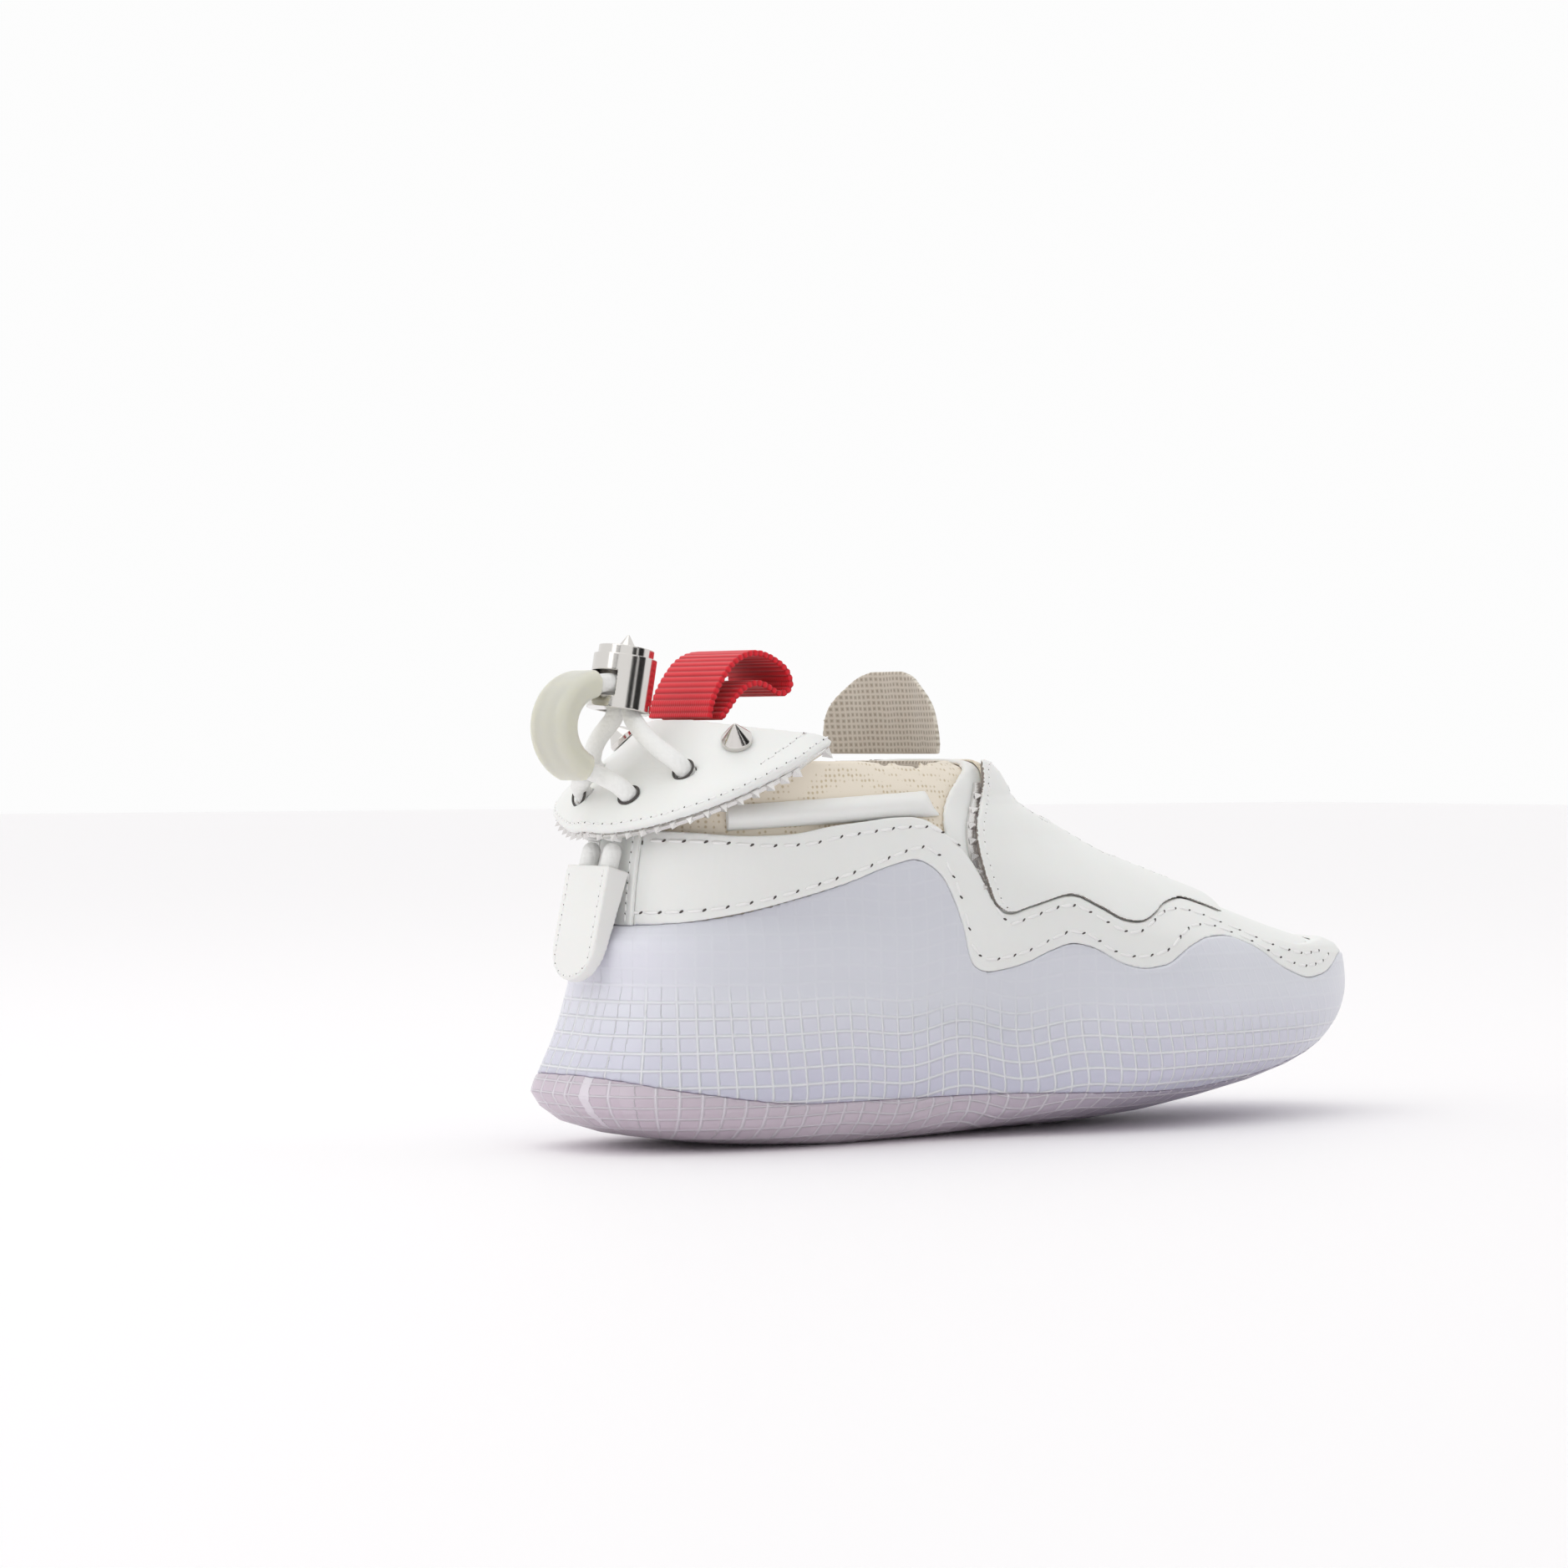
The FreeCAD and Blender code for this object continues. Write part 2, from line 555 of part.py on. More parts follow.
def traced(points):
    """A point on a list of base-size points, at a share of its length."""
    axes = [smooth([(k / (len(points) - 1), point[n]) for k, point in enumerate(points)])
            for n in range(3)]
    return lambda share: place(*[axis(share) for axis in axes])


upper_at, rim_at = traced(flap_upper), traced(flap_rim)


def flap_chord(turn, rise):
    top, low = upper_at(abs(turn)), rim_at(abs(turn))
    point = top + (low - top) * rise
    return Vector(point.x, point.y if turn >= 0 else -point.y, point.z)


def flap_frame(turn, rise, out=0.0):
    """Point, outward normal and direction along the rim; turn runs -1 lateral tip to 1 medial tip."""
    turn, rise = min(max(turn, -0.999), 0.999), min(max(rise, 0.0), 1.0)
    ahead = (flap_chord(turn + 0.001, rise) - flap_chord(turn - 0.001, rise)).normalize()
    down = (flap_chord(turn, 1) - flap_chord(turn, 0)).normalize()
    normal = ahead.cross(down).normalize()
    if normal.dot(Vector(flap_chord(turn, rise).x - along(75), flap_chord(turn, rise).y, up(12))) < 0:
        normal = normal * -1
    bulge = FLAP_BULGE * rise ** 4 * (1 - rise) * (1 - turn ** 2)
    return flap_chord(turn, rise) + normal * (bulge + out), normal, ahead


def flap_slab(low, thick, first=0.0, final=1.0, rows=8, columns=24):
    grids = []
    for out in (low, low + thick):
        grids.append([[flap_frame(2 * i / columns - 1, first + (final - first) * j / rows, out)[0]
                       for j in range(rows + 1)] for i in range(columns + 1)])
    return slab(*grids)


CORD_HOLES = [(0.42, 0.52), (0.22, 0.74)]
STUD_PLACE = (0.56, 0.2)


def rod(point, way, radius, back, forth):
    return Part.makeCylinder(radius, back + forth, point - way * back, way)


bore_radius = size("cord_radius") + size("cord_gap")
flap = flap_slab(0, size("flap_thickness"))
lining = flap_slab(-size("flap_lining_thickness"), size("flap_lining_thickness") - 0.02, 0.02, 0.97)
seam = flap_slab(-size("flap_lining_thickness") - 3, 2.95, 0.2, 0.42)
for side in (-1, 1):
    for turn, rise in CORD_HOLES:
        point, out, ahead = flap_frame(side * turn, rise)
        flap = flap.cut(rod(point, out, bore_radius, 8, 8))
        lining = lining.cut(rod(point, out, bore_radius, 8, 8))
    point, out, ahead = flap_frame(side * STUD_PLACE[0], STUD_PLACE[1])
    post_hole = rod(point, out, size("stud_post_radius") + gap, 8, 8)
    stud_seat = rod(point + out * size("flap_thickness"), out, size("stud_radius") + gap, 0, 3)
    washer_seat = rod(point - out * (size("flap_lining_thickness") - 0.02), out,
                      size("stud_washer_radius") + gap, 3, 0)
    flap = flap.cut(post_hole).cut(stud_seat)
    lining = lining.cut(post_hole).cut(washer_seat)
    seam = seam.cut(washer_seat)
keep("collar_flap", flap)
keep("flap_lining", lining)
bootie_shape = [piece for piece in made if piece.Label == "knit_bootie"][0].Shape
keep("flap_seam", largest(seam.cut(bootie_shape).cut(ankle.solid())))

tape = flap_slab(-1.9, 0.9, 0.9, 0.995, 2, 40)
teeth, previous, turn = [], None, -0.985
while turn < 0.985:
    foot, out, ahead = flap_frame(turn, 0.97, -1.6)
    if previous is None or (foot - previous).Length >= size("tooth_pitch"):
        down = ahead.cross(out).normalize()
        if down.z > 0:
            down = down * -1
        tooth_foot = foot + down * 0.2
        teeth.append(spike(tooth_foot, ahead, down, size("tooth_depth"), size("tooth_height")))
        previous = foot
    turn += 0.002
keep("flap_tooth_trim", largest(tape.fuse(teeth).cut(flap).cut(lining)))


# ---- bound primitives for the hardware
def primitive(kind, name, placement, **formulas):
    piece = doc.addObject("Part::" + kind, name)
    for formula_name, formula in formulas.items():
        piece.setExpression(formula_name, formula)
    piece.Placement = placement
    return piece


def joined(kind, name, first, *others):
    """Part::MultiFuse of all members, or Part::Cut of the first by the rest."""
    if kind == "fuse":
        result = doc.addObject("Part::MultiFuse", name)
        result.Shapes = [first] + list(others)
    else:
        tool = others[0] if len(others) == 1 else joined("fuse", name + "_tool", *others)
        result = doc.addObject("Part::Cut", name)
        result.Base, result.Tool = first, tool
    result.Label = name
    return result


def seat(origin, up_axis, ahead):
    """A placement with Z along up_axis and X as near ahead as it can be."""
    return Placement(origin, Rotation(ahead, Vector(), up_axis, "ZXY"))


for label, side in SIDES:
    point, out, ahead = flap_frame(side * STUD_PLACE[0], STUD_PLACE[1])
    base = point + out * (size("flap_thickness") + 0.05)
    rim = primitive("Cylinder", "stud_rim_" + label, seat(base, out, ahead),
                    Radius="sizes.stud_radius", Height="sizes.stud_rim")
    cone = primitive("Cone", "stud_cone_" + label, seat(base + out * size("stud_rim"), out, ahead),
                     Radius1="sizes.stud_radius", Height="sizes.stud_height - sizes.stud_rim")
    cone.Radius2 = 0.25
    made.append(joined("fuse", "stud_" + label, rim, cone))
    low = point - out * (size("flap_lining_thickness") + size("stud_washer_thickness"))
    washer = primitive("Cylinder", "stud_washer_" + label, seat(low, out, ahead),
                       Radius="sizes.stud_washer_radius", Height="sizes.stud_washer_thickness")
    post = primitive("Cylinder", "stud_post_" + label, seat(low, out, ahead),
                     Radius="sizes.stud_post_radius",
                     Height="sizes.stud_washer_thickness + sizes.flap_lining_thickness"
                            " + sizes.flap_thickness + 0.05")
    made.append(joined("fuse", "stud_screw_" + label, washer, post))


# ---- ribbon pull loop: a sewn-in foot and the loop that folds on it
def ribbon(path, thickness, width):
    """A ribbon on edge-view points, as wide as asked about the middle plane."""
    points = [place(x, 0, z) for x, z in path]
    skins = []
    for sign in (-0.5, 0.5):
        moved = []
        for k, point in enumerate(points):
            ahead = points[min(k + 1, len(points) - 1)] - points[max(k - 1, 0)]
            normal = Vector(-ahead.z, 0, ahead.x).normalize()
            moved.append(point + normal * (sign * thickness) + Vector(0, -0.5 * width, 0))
        skins.append(spline(moved))
    return closed_face(skins[0], skins[1], Vector(0, width, 0))


LOOP_FOOT = [(44.9, 112.2), (42.2, 108.8), (38.9, 105.2)]
LOOP_PATH = [(44.4, 114.3), (45.3, 119), (48.6, 125), (54, 130.4), (60.5, 132), (66.8, 130),
             (71, 126.3), (71.4, 122.9), (68.9, 121.2), (64.3, 122.9), (59.7, 123.9), (55, 121.9),
             (50.8, 117.5), (48, 114.3)]
foot = ribbon(LOOP_FOOT, 2 * size("ribbon_thickness"), size("ribbon_width"))
keep("loop_anchor", foot.cut(lining).cut(flap).cut(seam).cut(bootie_shape))
keep("pull_loop", ribbon(LOOP_PATH, size("ribbon_thickness"), size("ribbon_width")))


# ---- tongue: a sewn foot inside the collar and the free part that tilts on it
TONGUE_WAIST, TONGUE_CROWN = up(109), up(128.4)


def tongue_width(z):
    """Half width: straight up to the waist of the fan, then a half ellipse to its crown."""
    if z < TONGUE_WAIST:
        return blend(across(17), size("tongue_half_width"), (z - up(94)) / (TONGUE_WAIST - up(94)))
    share = (z - TONGUE_WAIST) / (TONGUE_CROWN - TONGUE_WAIST)
    return size("tongue_half_width") * math.sqrt(max(1 - share ** 2, 0.0))


tongue_line = smooth([(up(94), along(119)), (up(104), along(119)), (up(110), along(118.3)),
                      (up(128), along(115.5))])


def tongue_slab(low, high, thickness):
    grids = []
    for out in (0, thickness):
        grid = []
        for i in range(9):
            share = i / 4 - 1
            column = []
            for j in range(11):
                z = low + (high - low) * math.sin(0.5 * math.pi * j / 10)
                y = share * tongue_width(z)
                column.append(Vector(tongue_line(z) - 0.009 * y * y + out, y, z))
            grid.append(column)
        grids.append(grid)
    return slab(*grids)


base = tongue_slab(up(95), up(103), size("tongue_thickness") + 4)
vamp_solid = [piece for piece in made if piece.Label == "vamp_leather"][0].Shape
keep("tongue_base", largest(base.cut(bootie_shape).cut(vamp_solid)))
keep("tongue", tongue_slab(up(104.9), up(127.8), size("tongue_thickness")))

# ---- drawcord casings along the ankle, on the bootie just above the bands
casing_line = graded_curve([(36, 88.1), (42, 88.3), (61, 89.3), (83, 90.5), (101, 91.5), (110, 92)])
half_casing = 0.5 * size("casing_width")
for label, side in SIDES:
    grid = side_grid(side, raised(casing_line, -half_casing), raised(casing_line, half_casing),
                     turn_at(along(40), up(88)), turn_at(along(107), up(91)), 24, 6)
    start = -sock_out + 0.05

    def rounded(i, j):
        across_share = 2 * j / 6 - 1
        end_share = min(1.0, (24.6 - i) / 2.2)
        return start + 0.6 + (size("casing_thickness") - 0.6) * (1 - across_share ** 2) * end_share
    keep("ankle_cord_" + label, slab(offset(grid, start), offset(grid, rounded)))


# ---- cords: straight runs joined by tangent arcs, with one true arc through the grip
def rounded_path(points):
    """Edges of a route and the radius of each bend, every bend as large as its runs allow."""
    edges, radii, here = [], [], points[0]
    for before, corner, after in zip(points, points[1:], points[2:]):
        first, second = (corner - before), (after - corner)
        reach = 0.45 * min(first.Length, second.Length)
        first.normalize()
        second.normalize()
        bend = first.getAngle(second)
        start, finish = corner - first * reach, corner + second * reach
        radii.append(reach / math.tan(0.5 * bend))
        centre_way = (second - first).normalize()
        sag = radii[-1] / math.cos(0.5 * bend) - radii[-1]
        edges.append(Part.makeLine(here, start))
        edges.append(Part.Arc(start, corner + centre_way * sag, finish).toShape())
        here = finish
    edges.append(Part.makeLine(here, points[-1]))
    return edges, radii


def tube(edges, radius):
    path = Part.Wire(edges)
    start = edges[0].valueAt(edges[0].FirstParameter)
    way = edges[0].tangentAt(edges[0].FirstParameter)
    ring = Part.Wire([Part.Circle(start, way, radius).toShape()])
    return path.makePipeShell([ring], True, True)


grip_centre = place(14.5, 0, 112)
GRIP_START, GRIP_END = math.radians(95), math.radians(250)


def grip_point(turn, y):
    reach = Vector(math.cos(turn), 0, math.sin(turn)) * size("grip_radius")
    return grip_centre + reach + Vector(0, y, 0)


def grip_way(turn):
    return Vector(-math.sin(turn), 0, math.cos(turn))


cords = {}
for label, side in SIDES:
    y = side * 0.5 * size("cord_spacing")
    first_hole, first_out, _ = flap_frame(side * CORD_HOLES[0][0], CORD_HOLES[0][1])
    last_hole, last_out, _ = flap_frame(side * CORD_HOLES[1][0], CORD_HOLES[1][1])
    entry, leave = grip_point(GRIP_START, y), grip_point(GRIP_END, y)
    rise = [first_hole - first_out * 4.8, first_hole + first_out * 4,
            place(25, side * 12.2, 108.2), Vector(along(25.4), side * 3.5, up(114.8)),
            Vector(along(25.6), y, up(120)), entry - grip_way(GRIP_START) * 7.3, entry]
    drop = [leave, leave + grip_way(GRIP_END) * 5.5, last_hole + last_out * 5, last_hole - last_out * 4.6]
    rise_edges, rise_radii = rounded_path(rise)
    drop_edges, drop_radii = rounded_path(drop)
    middle = grip_point(0.5 * (GRIP_START + GRIP_END), y)
    edges = rise_edges + [Part.Arc(entry, middle, leave).toShape()] + drop_edges
    cords[label] = tube(edges, size("cord_radius"))
    length = sum(edge.Length for edge in edges)
    print("lock cord", label, "length %.1f" % length, "volume ratio %.3f"
          % (cords[label].Volume / (length * math.pi * size("cord_radius") ** 2)),
          "radii", [round(radius, 1) for radius in rise_radii + drop_radii])
    keep("lock_cord_" + label, largest(cords[label].cut(bootie_shape)))

# ---- cord lock: a drum with a spring-loaded plunger; cords come in below and leave at the rear
DRUM_TILT = math.radians(10)
drum_back = Vector(-math.cos(DRUM_TILT), 0, math.sin(DRUM_TILT))
drum_axis = Vector(math.sin(DRUM_TILT), 0, math.cos(DRUM_TILT))
drum_centre = place(25, 0, 123.5)
drum_half = 0.5 * size("drum_height")
window = size("cord_spacing") + 2 * bore_radius


def in_drum(x, z, y=0.0):
    """A placement in the drum's own frame, X to the rear and Z along the drum."""
    return seat(drum_centre + drum_back * x + drum_axis * z + Vector(0, y, 0), drum_axis, drum_back)


outside = primitive("Cylinder", "drum_outside", in_drum(0, -drum_half),
                    Radius="sizes.drum_radius", Height="sizes.drum_height")
bore = primitive("Cylinder", "drum_bore", in_drum(0, -drum_half + size("drum_floor")),
                 Radius="sizes.drum_radius - sizes.drum_wall", Height="sizes.drum_height")
rear_window = primitive("Box", "drum_rear_window", in_drum(0, -4.2, 0.5 * window),
                        Length="sizes.drum_radius + 1",
                        Height="2 * (sizes.cord_radius + sizes.cord_gap) + 1",
                        Width="sizes.cord_spacing + 2 * (sizes.cord_radius + sizes.cord_gap)")
floor_window = primitive("Box", "drum_floor_window", in_drum(-4.9, -drum_half - 1, 0.5 * window + 1.2),
                         Length="2 * (sizes.cord_radius + sizes.cord_gap) + 1.4",
                         Height="sizes.drum_floor + 2",
                         Width="sizes.cord_spacing + 2 * (sizes.cord_radius + sizes.cord_gap) + 2.4")
made.append(joined("cut", "cord_lock_drum", outside, bore, rear_window, floor_window))

plunger_low = drum_half - 2.9
button = primitive("Cylinder", "plunger_button", in_drum(0, plunger_low),
                   Radius="sizes.drum_radius - sizes.drum_wall - sizes.plunger_gap",
                   Height="2.9 + sizes.plunger_proud")
spike_cone = primitive("Cone", "plunger_spike", in_drum(0, drum_half + size("plunger_proud")),
                       Radius1="sizes.spike_radius", Height="sizes.spike_height")
spike_cone.Radius2 = 0.25
made.append(joined("fuse", "cord_lock_plunger", button, spike_cone))

# ---- grip: a soft C bar round the two cords
bar, wide = 0.5 * size("grip_bar"), 0.5 * size("grip_width")
start_way = Vector(math.cos(GRIP_START), 0, math.sin(GRIP_START))
bar_corners = [(-bar, -wide), (bar, -wide), (bar, wide), (-bar, wide), (-bar, -wide)]
profile = Part.makePolygon([grip_point(GRIP_START, y) + start_way * r for r, y in bar_corners])
arc_degrees = math.degrees(GRIP_END - GRIP_START)
turn_axis = Vector(0, -1, 0)
grip = Part.Face(profile).revolve(grip_centre, turn_axis, arc_degrees)
long_edges = [edge for edge in grip.Edges if edge.Curve.TypeId == "Part::GeomCircle"]
grip = grip.makeFillet(0.85 * bar, long_edges)
for side in (-1, 1):
    y = side * 0.5 * size("cord_spacing")
    ring = Part.Circle(grip_point(GRIP_START, y), grip_way(GRIP_START), bore_radius).toShape()
    bore_face = Part.Face(Part.Wire([ring]))
    grip = grip.cut(bore_face.revolve(grip_centre, turn_axis, arc_degrees))
keep("cord_grip", grip)

# ---- hanging tab on two short cords, swinging about a line under the flap
tab_pivot = place(18.5, 0, 79)
tab_turn = Rotation(Vector(0, 1, 0), size("tab_lean"))


def in_tab(x, y, z):
    return tab_pivot + tab_turn.multVec(Vector(x, y, z))


tab_drop = 4.5
half_tab, round_radius = 0.5 * size("tab_width"), 0.5 * size("tab_width")
outline = [in_tab(0, -half_tab, -tab_drop), in_tab(0, half_tab, -tab_drop)]
side_low = -tab_drop - size("tab_length") + round_radius
curve = Part.Arc(in_tab(0, half_tab, side_low), in_tab(0, 0, side_low - round_radius),
                 in_tab(0, -half_tab, side_low)).toShape()
face = Part.Face(Part.Wire([Part.makeLine(outline[0], outline[1]),
                            Part.makeLine(outline[1], in_tab(0, half_tab, side_low)), curve,
                            Part.makeLine(in_tab(0, -half_tab, side_low), outline[0])]))
thick = tab_turn.multVec(Vector(size("tab_top"), 0, 0))
tab_block = face.extrude(thick)
tab_block.translate(thick * -0.5)
wedge_points = [in_tab(x, -half_tab - 1, z) for x, z in (
    (-0.5 * size("tab_top"), -tab_drop + 1), (0.5 * size("tab_top"), -tab_drop + 1),
    (0.5 * size("tab_tip"), -tab_drop - size("tab_length") - 1),
    (-0.5 * size("tab_tip"), -tab_drop - size("tab_length") - 1))]
wedge_face = Part.Face(Part.makePolygon(wedge_points + wedge_points[:1]))
wedge = wedge_face.extrude(Vector(0, size("tab_width") + 2, 0))
keep("tab", tab_block.common(wedge))
for label, side in SIDES:
    y = side * 0.5 * size("tab_cord_spacing")
    top, low = in_tab(0, y, 0), in_tab(0, y, -tab_drop)
    stub = Part.makeCylinder(size("cord_radius"), (top - low).Length, low, top - low)
    keep("tab_cord_" + label, stub.fuse(Part.makeSphere(size("cord_radius"), top)))
    hanger_low = top + Vector(0, 0, size("cord_radius") + 0.4)
    hanger = Part.makeCylinder(size("cord_radius"), up(12), hanger_low, Vector(0.25, 0, 1).normalize())
    hanger = hanger.cut(lining).cut(flap).cut(flap_slab(0, 20)).cut(bootie_shape)
    keep("tab_hanger_" + label, largest(hanger))
doc.recompute()

os.makedirs("parts", exist_ok=True)
for piece in doc.Objects:
    if "Invalid" in piece.State or "Error" in piece.State:
        raise RuntimeError(piece.Label + " failed")
for piece in made:
    if piece.Shape.isNull():
        raise RuntimeError(piece.Label + " has no shape")
    if not piece.Shape.isValid() or len(piece.Shape.Solids) != 1:
        raise RuntimeError(piece.Label + " is not one valid solid")
for piece in made:
    piece.Shape.exportStep("parts/%s.step" % piece.Label)
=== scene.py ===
"""A right-foot sneaker, built piece by piece on its fixed frame."""
import json
import math
import bpy
import bmesh
import numpy as np
from mathutils import Matrix, Vector
from mathutils.bvhtree import BVHTree
from mathutils.kdtree import KDTree

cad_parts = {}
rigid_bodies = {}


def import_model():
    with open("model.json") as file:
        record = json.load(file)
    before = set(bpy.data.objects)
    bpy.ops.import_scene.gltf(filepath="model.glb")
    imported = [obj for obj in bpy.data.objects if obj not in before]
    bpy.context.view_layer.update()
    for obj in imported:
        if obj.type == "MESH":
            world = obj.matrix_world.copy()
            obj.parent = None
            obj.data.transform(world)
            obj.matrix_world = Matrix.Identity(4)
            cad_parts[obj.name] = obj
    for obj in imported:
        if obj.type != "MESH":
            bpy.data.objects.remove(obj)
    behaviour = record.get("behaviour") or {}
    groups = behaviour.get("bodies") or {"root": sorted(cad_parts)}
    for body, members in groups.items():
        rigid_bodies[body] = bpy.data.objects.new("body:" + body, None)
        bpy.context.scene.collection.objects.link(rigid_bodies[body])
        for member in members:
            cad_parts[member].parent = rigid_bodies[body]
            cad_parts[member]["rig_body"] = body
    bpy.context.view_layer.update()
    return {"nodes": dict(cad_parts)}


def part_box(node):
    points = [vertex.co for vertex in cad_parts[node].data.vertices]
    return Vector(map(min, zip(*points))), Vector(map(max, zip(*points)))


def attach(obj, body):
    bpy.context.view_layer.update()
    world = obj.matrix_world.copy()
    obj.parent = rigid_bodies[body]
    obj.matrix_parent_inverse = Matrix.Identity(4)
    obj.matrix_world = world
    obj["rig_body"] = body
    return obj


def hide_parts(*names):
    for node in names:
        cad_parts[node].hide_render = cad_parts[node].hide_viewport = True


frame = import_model()
MM = 0.001

# ---------------------------------------------------------------- camera, floor and light
# A seamless pale table under a large soft box, with the shoe seen from its outer rear quarter.
VIEW_DISTANCE, VIEW_HEIGHT, VIEW_AZIMUTH = 1300 * MM, 105.5 * MM, math.radians(-40)
AIM_LEFT, AIM_DOWN = math.radians(2.19), math.radians(0.40)


def srgb(code):
    """A hex colour as linear red, green, blue and alpha."""
    parts = [int(code[k:k + 2], 16) / 255 for k in (1, 3, 5)]
    return tuple(c / 12.92 if c < 0.04045 else ((c + 0.055) / 1.055) ** 2.4 for c in parts) + (1.0,)


def add_node(tree, kind, inputs=None, **settings):
    """A shader node with its settings, plain input values and links."""
    made = tree.nodes.new("ShaderNode" + kind)
    for key, value in settings.items():
        setattr(made, key, value)
    for key, value in (inputs or {}).items():
        if isinstance(value, bpy.types.NodeSocket):
            tree.links.new(value, made.inputs[key])
        else:
            made.inputs[key].default_value = value
    return made


def two_tone(tree, share, first, second):
    """A colour between two, at a share of 0 to 1; each may be a socket or a hex colour."""
    made = add_node(tree, "Mix", {0: share}, data_type="RGBA")
    for socket, colour in ((6, first), (7, second)):
        if isinstance(colour, str):
            made.inputs[socket].default_value = srgb(colour)
        else:
            tree.links.new(colour, made.inputs[socket])
    return made.outputs[2]


def material(name, **values):
    """A material with its principled shader, the shader's own sockets set."""
    made = bpy.data.materials.new(name)
    made.use_nodes = True
    shader = made.node_tree.nodes["Principled BSDF"]
    for key, value in values.items():
        shader.inputs[key.replace("_", " ")].default_value = value
    return made, made.node_tree, shader


camera_data = bpy.data.cameras.new("camera")
camera_data.sensor_width = 36.0
camera_data.lens = 105.9
camera_data.clip_end = 50
camera = bpy.data.objects.new("camera", camera_data)
bpy.context.scene.collection.objects.link(camera)
bpy.context.scene.camera = camera
look = Vector((-math.sin(VIEW_AZIMUTH), math.cos(VIEW_AZIMUTH), 0))
camera.location = Vector((0, 0, VIEW_HEIGHT)) - look * VIEW_DISTANCE
turned = Matrix.Rotation(AIM_LEFT, 3, "Z") @ look
turned.z = -math.tan(AIM_DOWN)
camera.rotation_euler = turned.to_track_quat("-Z", "Y").to_euler()

floor_mesh = bpy.data.meshes.new("floor")
floor_mesh.from_pydata([(-6, -6, 0), (6, -6, 0), (6, 6, 0), (-6, 6, 0)], [], [(0, 1, 2, 3)])
floor = bpy.data.objects.new("floor", floor_mesh)
floor.location.z = -0.02 * MM
bpy.context.scene.collection.objects.link(floor)
floor_paint, _, _ = material("matt_white_table", Base_Color=srgb("#FAF8F9"), Roughness=0.6)
floor_mesh.materials.append(floor_paint)

world = bpy.data.worlds.new("studio")
bpy.context.scene.world = world
world.use_nodes = True
world.node_tree.nodes["Background"].inputs["Color"].default_value = srgb("#FFFFFF")
world.node_tree.nodes["Background"].inputs["Strength"].default_value = 0.98
for name, place, target, power, width in (
        ("top_softbox", (-0.2, 0.2, 1.5), (0, 0, 0.05), 2.6, 1.2),
        ("left_softbox", (-1.3, -0.2, 0.8), (0, 0, 0.06), 1.6, 0.8)):
    lamp = bpy.data.lights.new(name, "AREA")
    lamp.energy, lamp.size = power, width
    holder = bpy.data.objects.new(name, lamp)
    holder.location = place
    holder.rotation_euler = (Vector(target) - Vector(place)).to_track_quat("-Z", "Y").to_euler()
    bpy.context.scene.collection.objects.link(holder)
bpy.context.scene.view_settings.view_transform = "Standard"

# dark flags either side of the camera give polished metal something to reflect and round off
# the shoe's near side, as black cards do beside a white table
flag_paint, _, _ = material("black_flag_cloth", Base_Color=srgb("#141414"), Roughness=0.9)
for name, place, width, height in (("right_flag", (0.75, -1.5, 0.45), 0.9, 1.5),
                                   ("left_flag", (-1.7, -0.55, 0.3), 0.5, 1.2),
                                   ("low_flag", (-0.1, -1.75, 0.25), 0.6, 0.5)):
    card = bpy.data.meshes.new(name)
    card.from_pydata([(-width / 2, -height / 2, 0), (width / 2, -height / 2, 0),
                      (width / 2, height / 2, 0), (-width / 2, height / 2, 0)], [], [(0, 1, 2, 3)])
    card.materials.append(flag_paint)
    stand = bpy.data.objects.new(name, card)
    stand.location = place
    stand.rotation_euler = (Vector((0, 0, 0.08)) - Vector(place)).to_track_quat("-Z", "Y").to_euler()
    bpy.context.scene.collection.objects.link(stand)
    stand.visible_camera = False


# ---------------------------------------------------------------- outsole and translucent wall
# Two-part moulded rubber: a rose-lilac tread and a lilac-white, slightly see-through wall that
# rises into the waist's high crest. Both carry a raised grid left by the engraved mould.
WALL_VOXEL, GRID_CELL, TREAD_CELL = 0.55 * MM, 5.2 * MM, 6.2 * MM


def body_of(node):
    return frame["nodes"][node]["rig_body"]


def softened(node, name, voxel, rounds, mat):
    """The node's form with its moulded or cut edges rounded, as a new piece that stands for it."""
    made = bpy.data.objects.new(name, frame["nodes"][node].data.copy())
    bpy.context.scene.collection.objects.link(made)
    remesh = made.modifiers.new("remesh", "REMESH")
    remesh.mode, remesh.voxel_size, remesh.adaptivity = "VOXEL", voxel, 0.0
    ease = made.modifiers.new("ease", "SMOOTH")
    ease.factor, ease.iterations = 0.5, rounds
    baked = bpy.data.meshes.new_from_object(made.evaluated_get(bpy.context.evaluated_depsgraph_get()))
    made.modifiers.clear()
    made.data = baked
    made.data.materials.clear()
    made.data.materials.append(mat)
    made.data.shade_smooth()
    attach(made, body_of(node))
    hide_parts(node)
    return made


def coordinates(thing):
    values = np.zeros(len(thing.data.vertices) * 3)
    thing.data.vertices.foreach_get("co", values)
    return values.reshape(-1, 3)


def attribute(thing, name, values):
    layer = thing.data.attributes.new(name, "FLOAT", "POINT")
    layer.data.foreach_set("value", np.asarray(values, dtype=np.float32))


def lines(tree, value, width):
    """1 on thin lines at whole numbers of value, falling to 0 over width."""
    away = add_node(tree, "Math", {0: value, 1: 0.5}, operation="PINGPONG")
    ramp = add_node(tree, "MapRange", {"Value": away.outputs[0], "From Min": 0.0, "From Max": width,
                                       "To Min": 1.0, "To Max": 0.0}, interpolation_type="SMOOTHSTEP")
    return ramp.outputs[0]


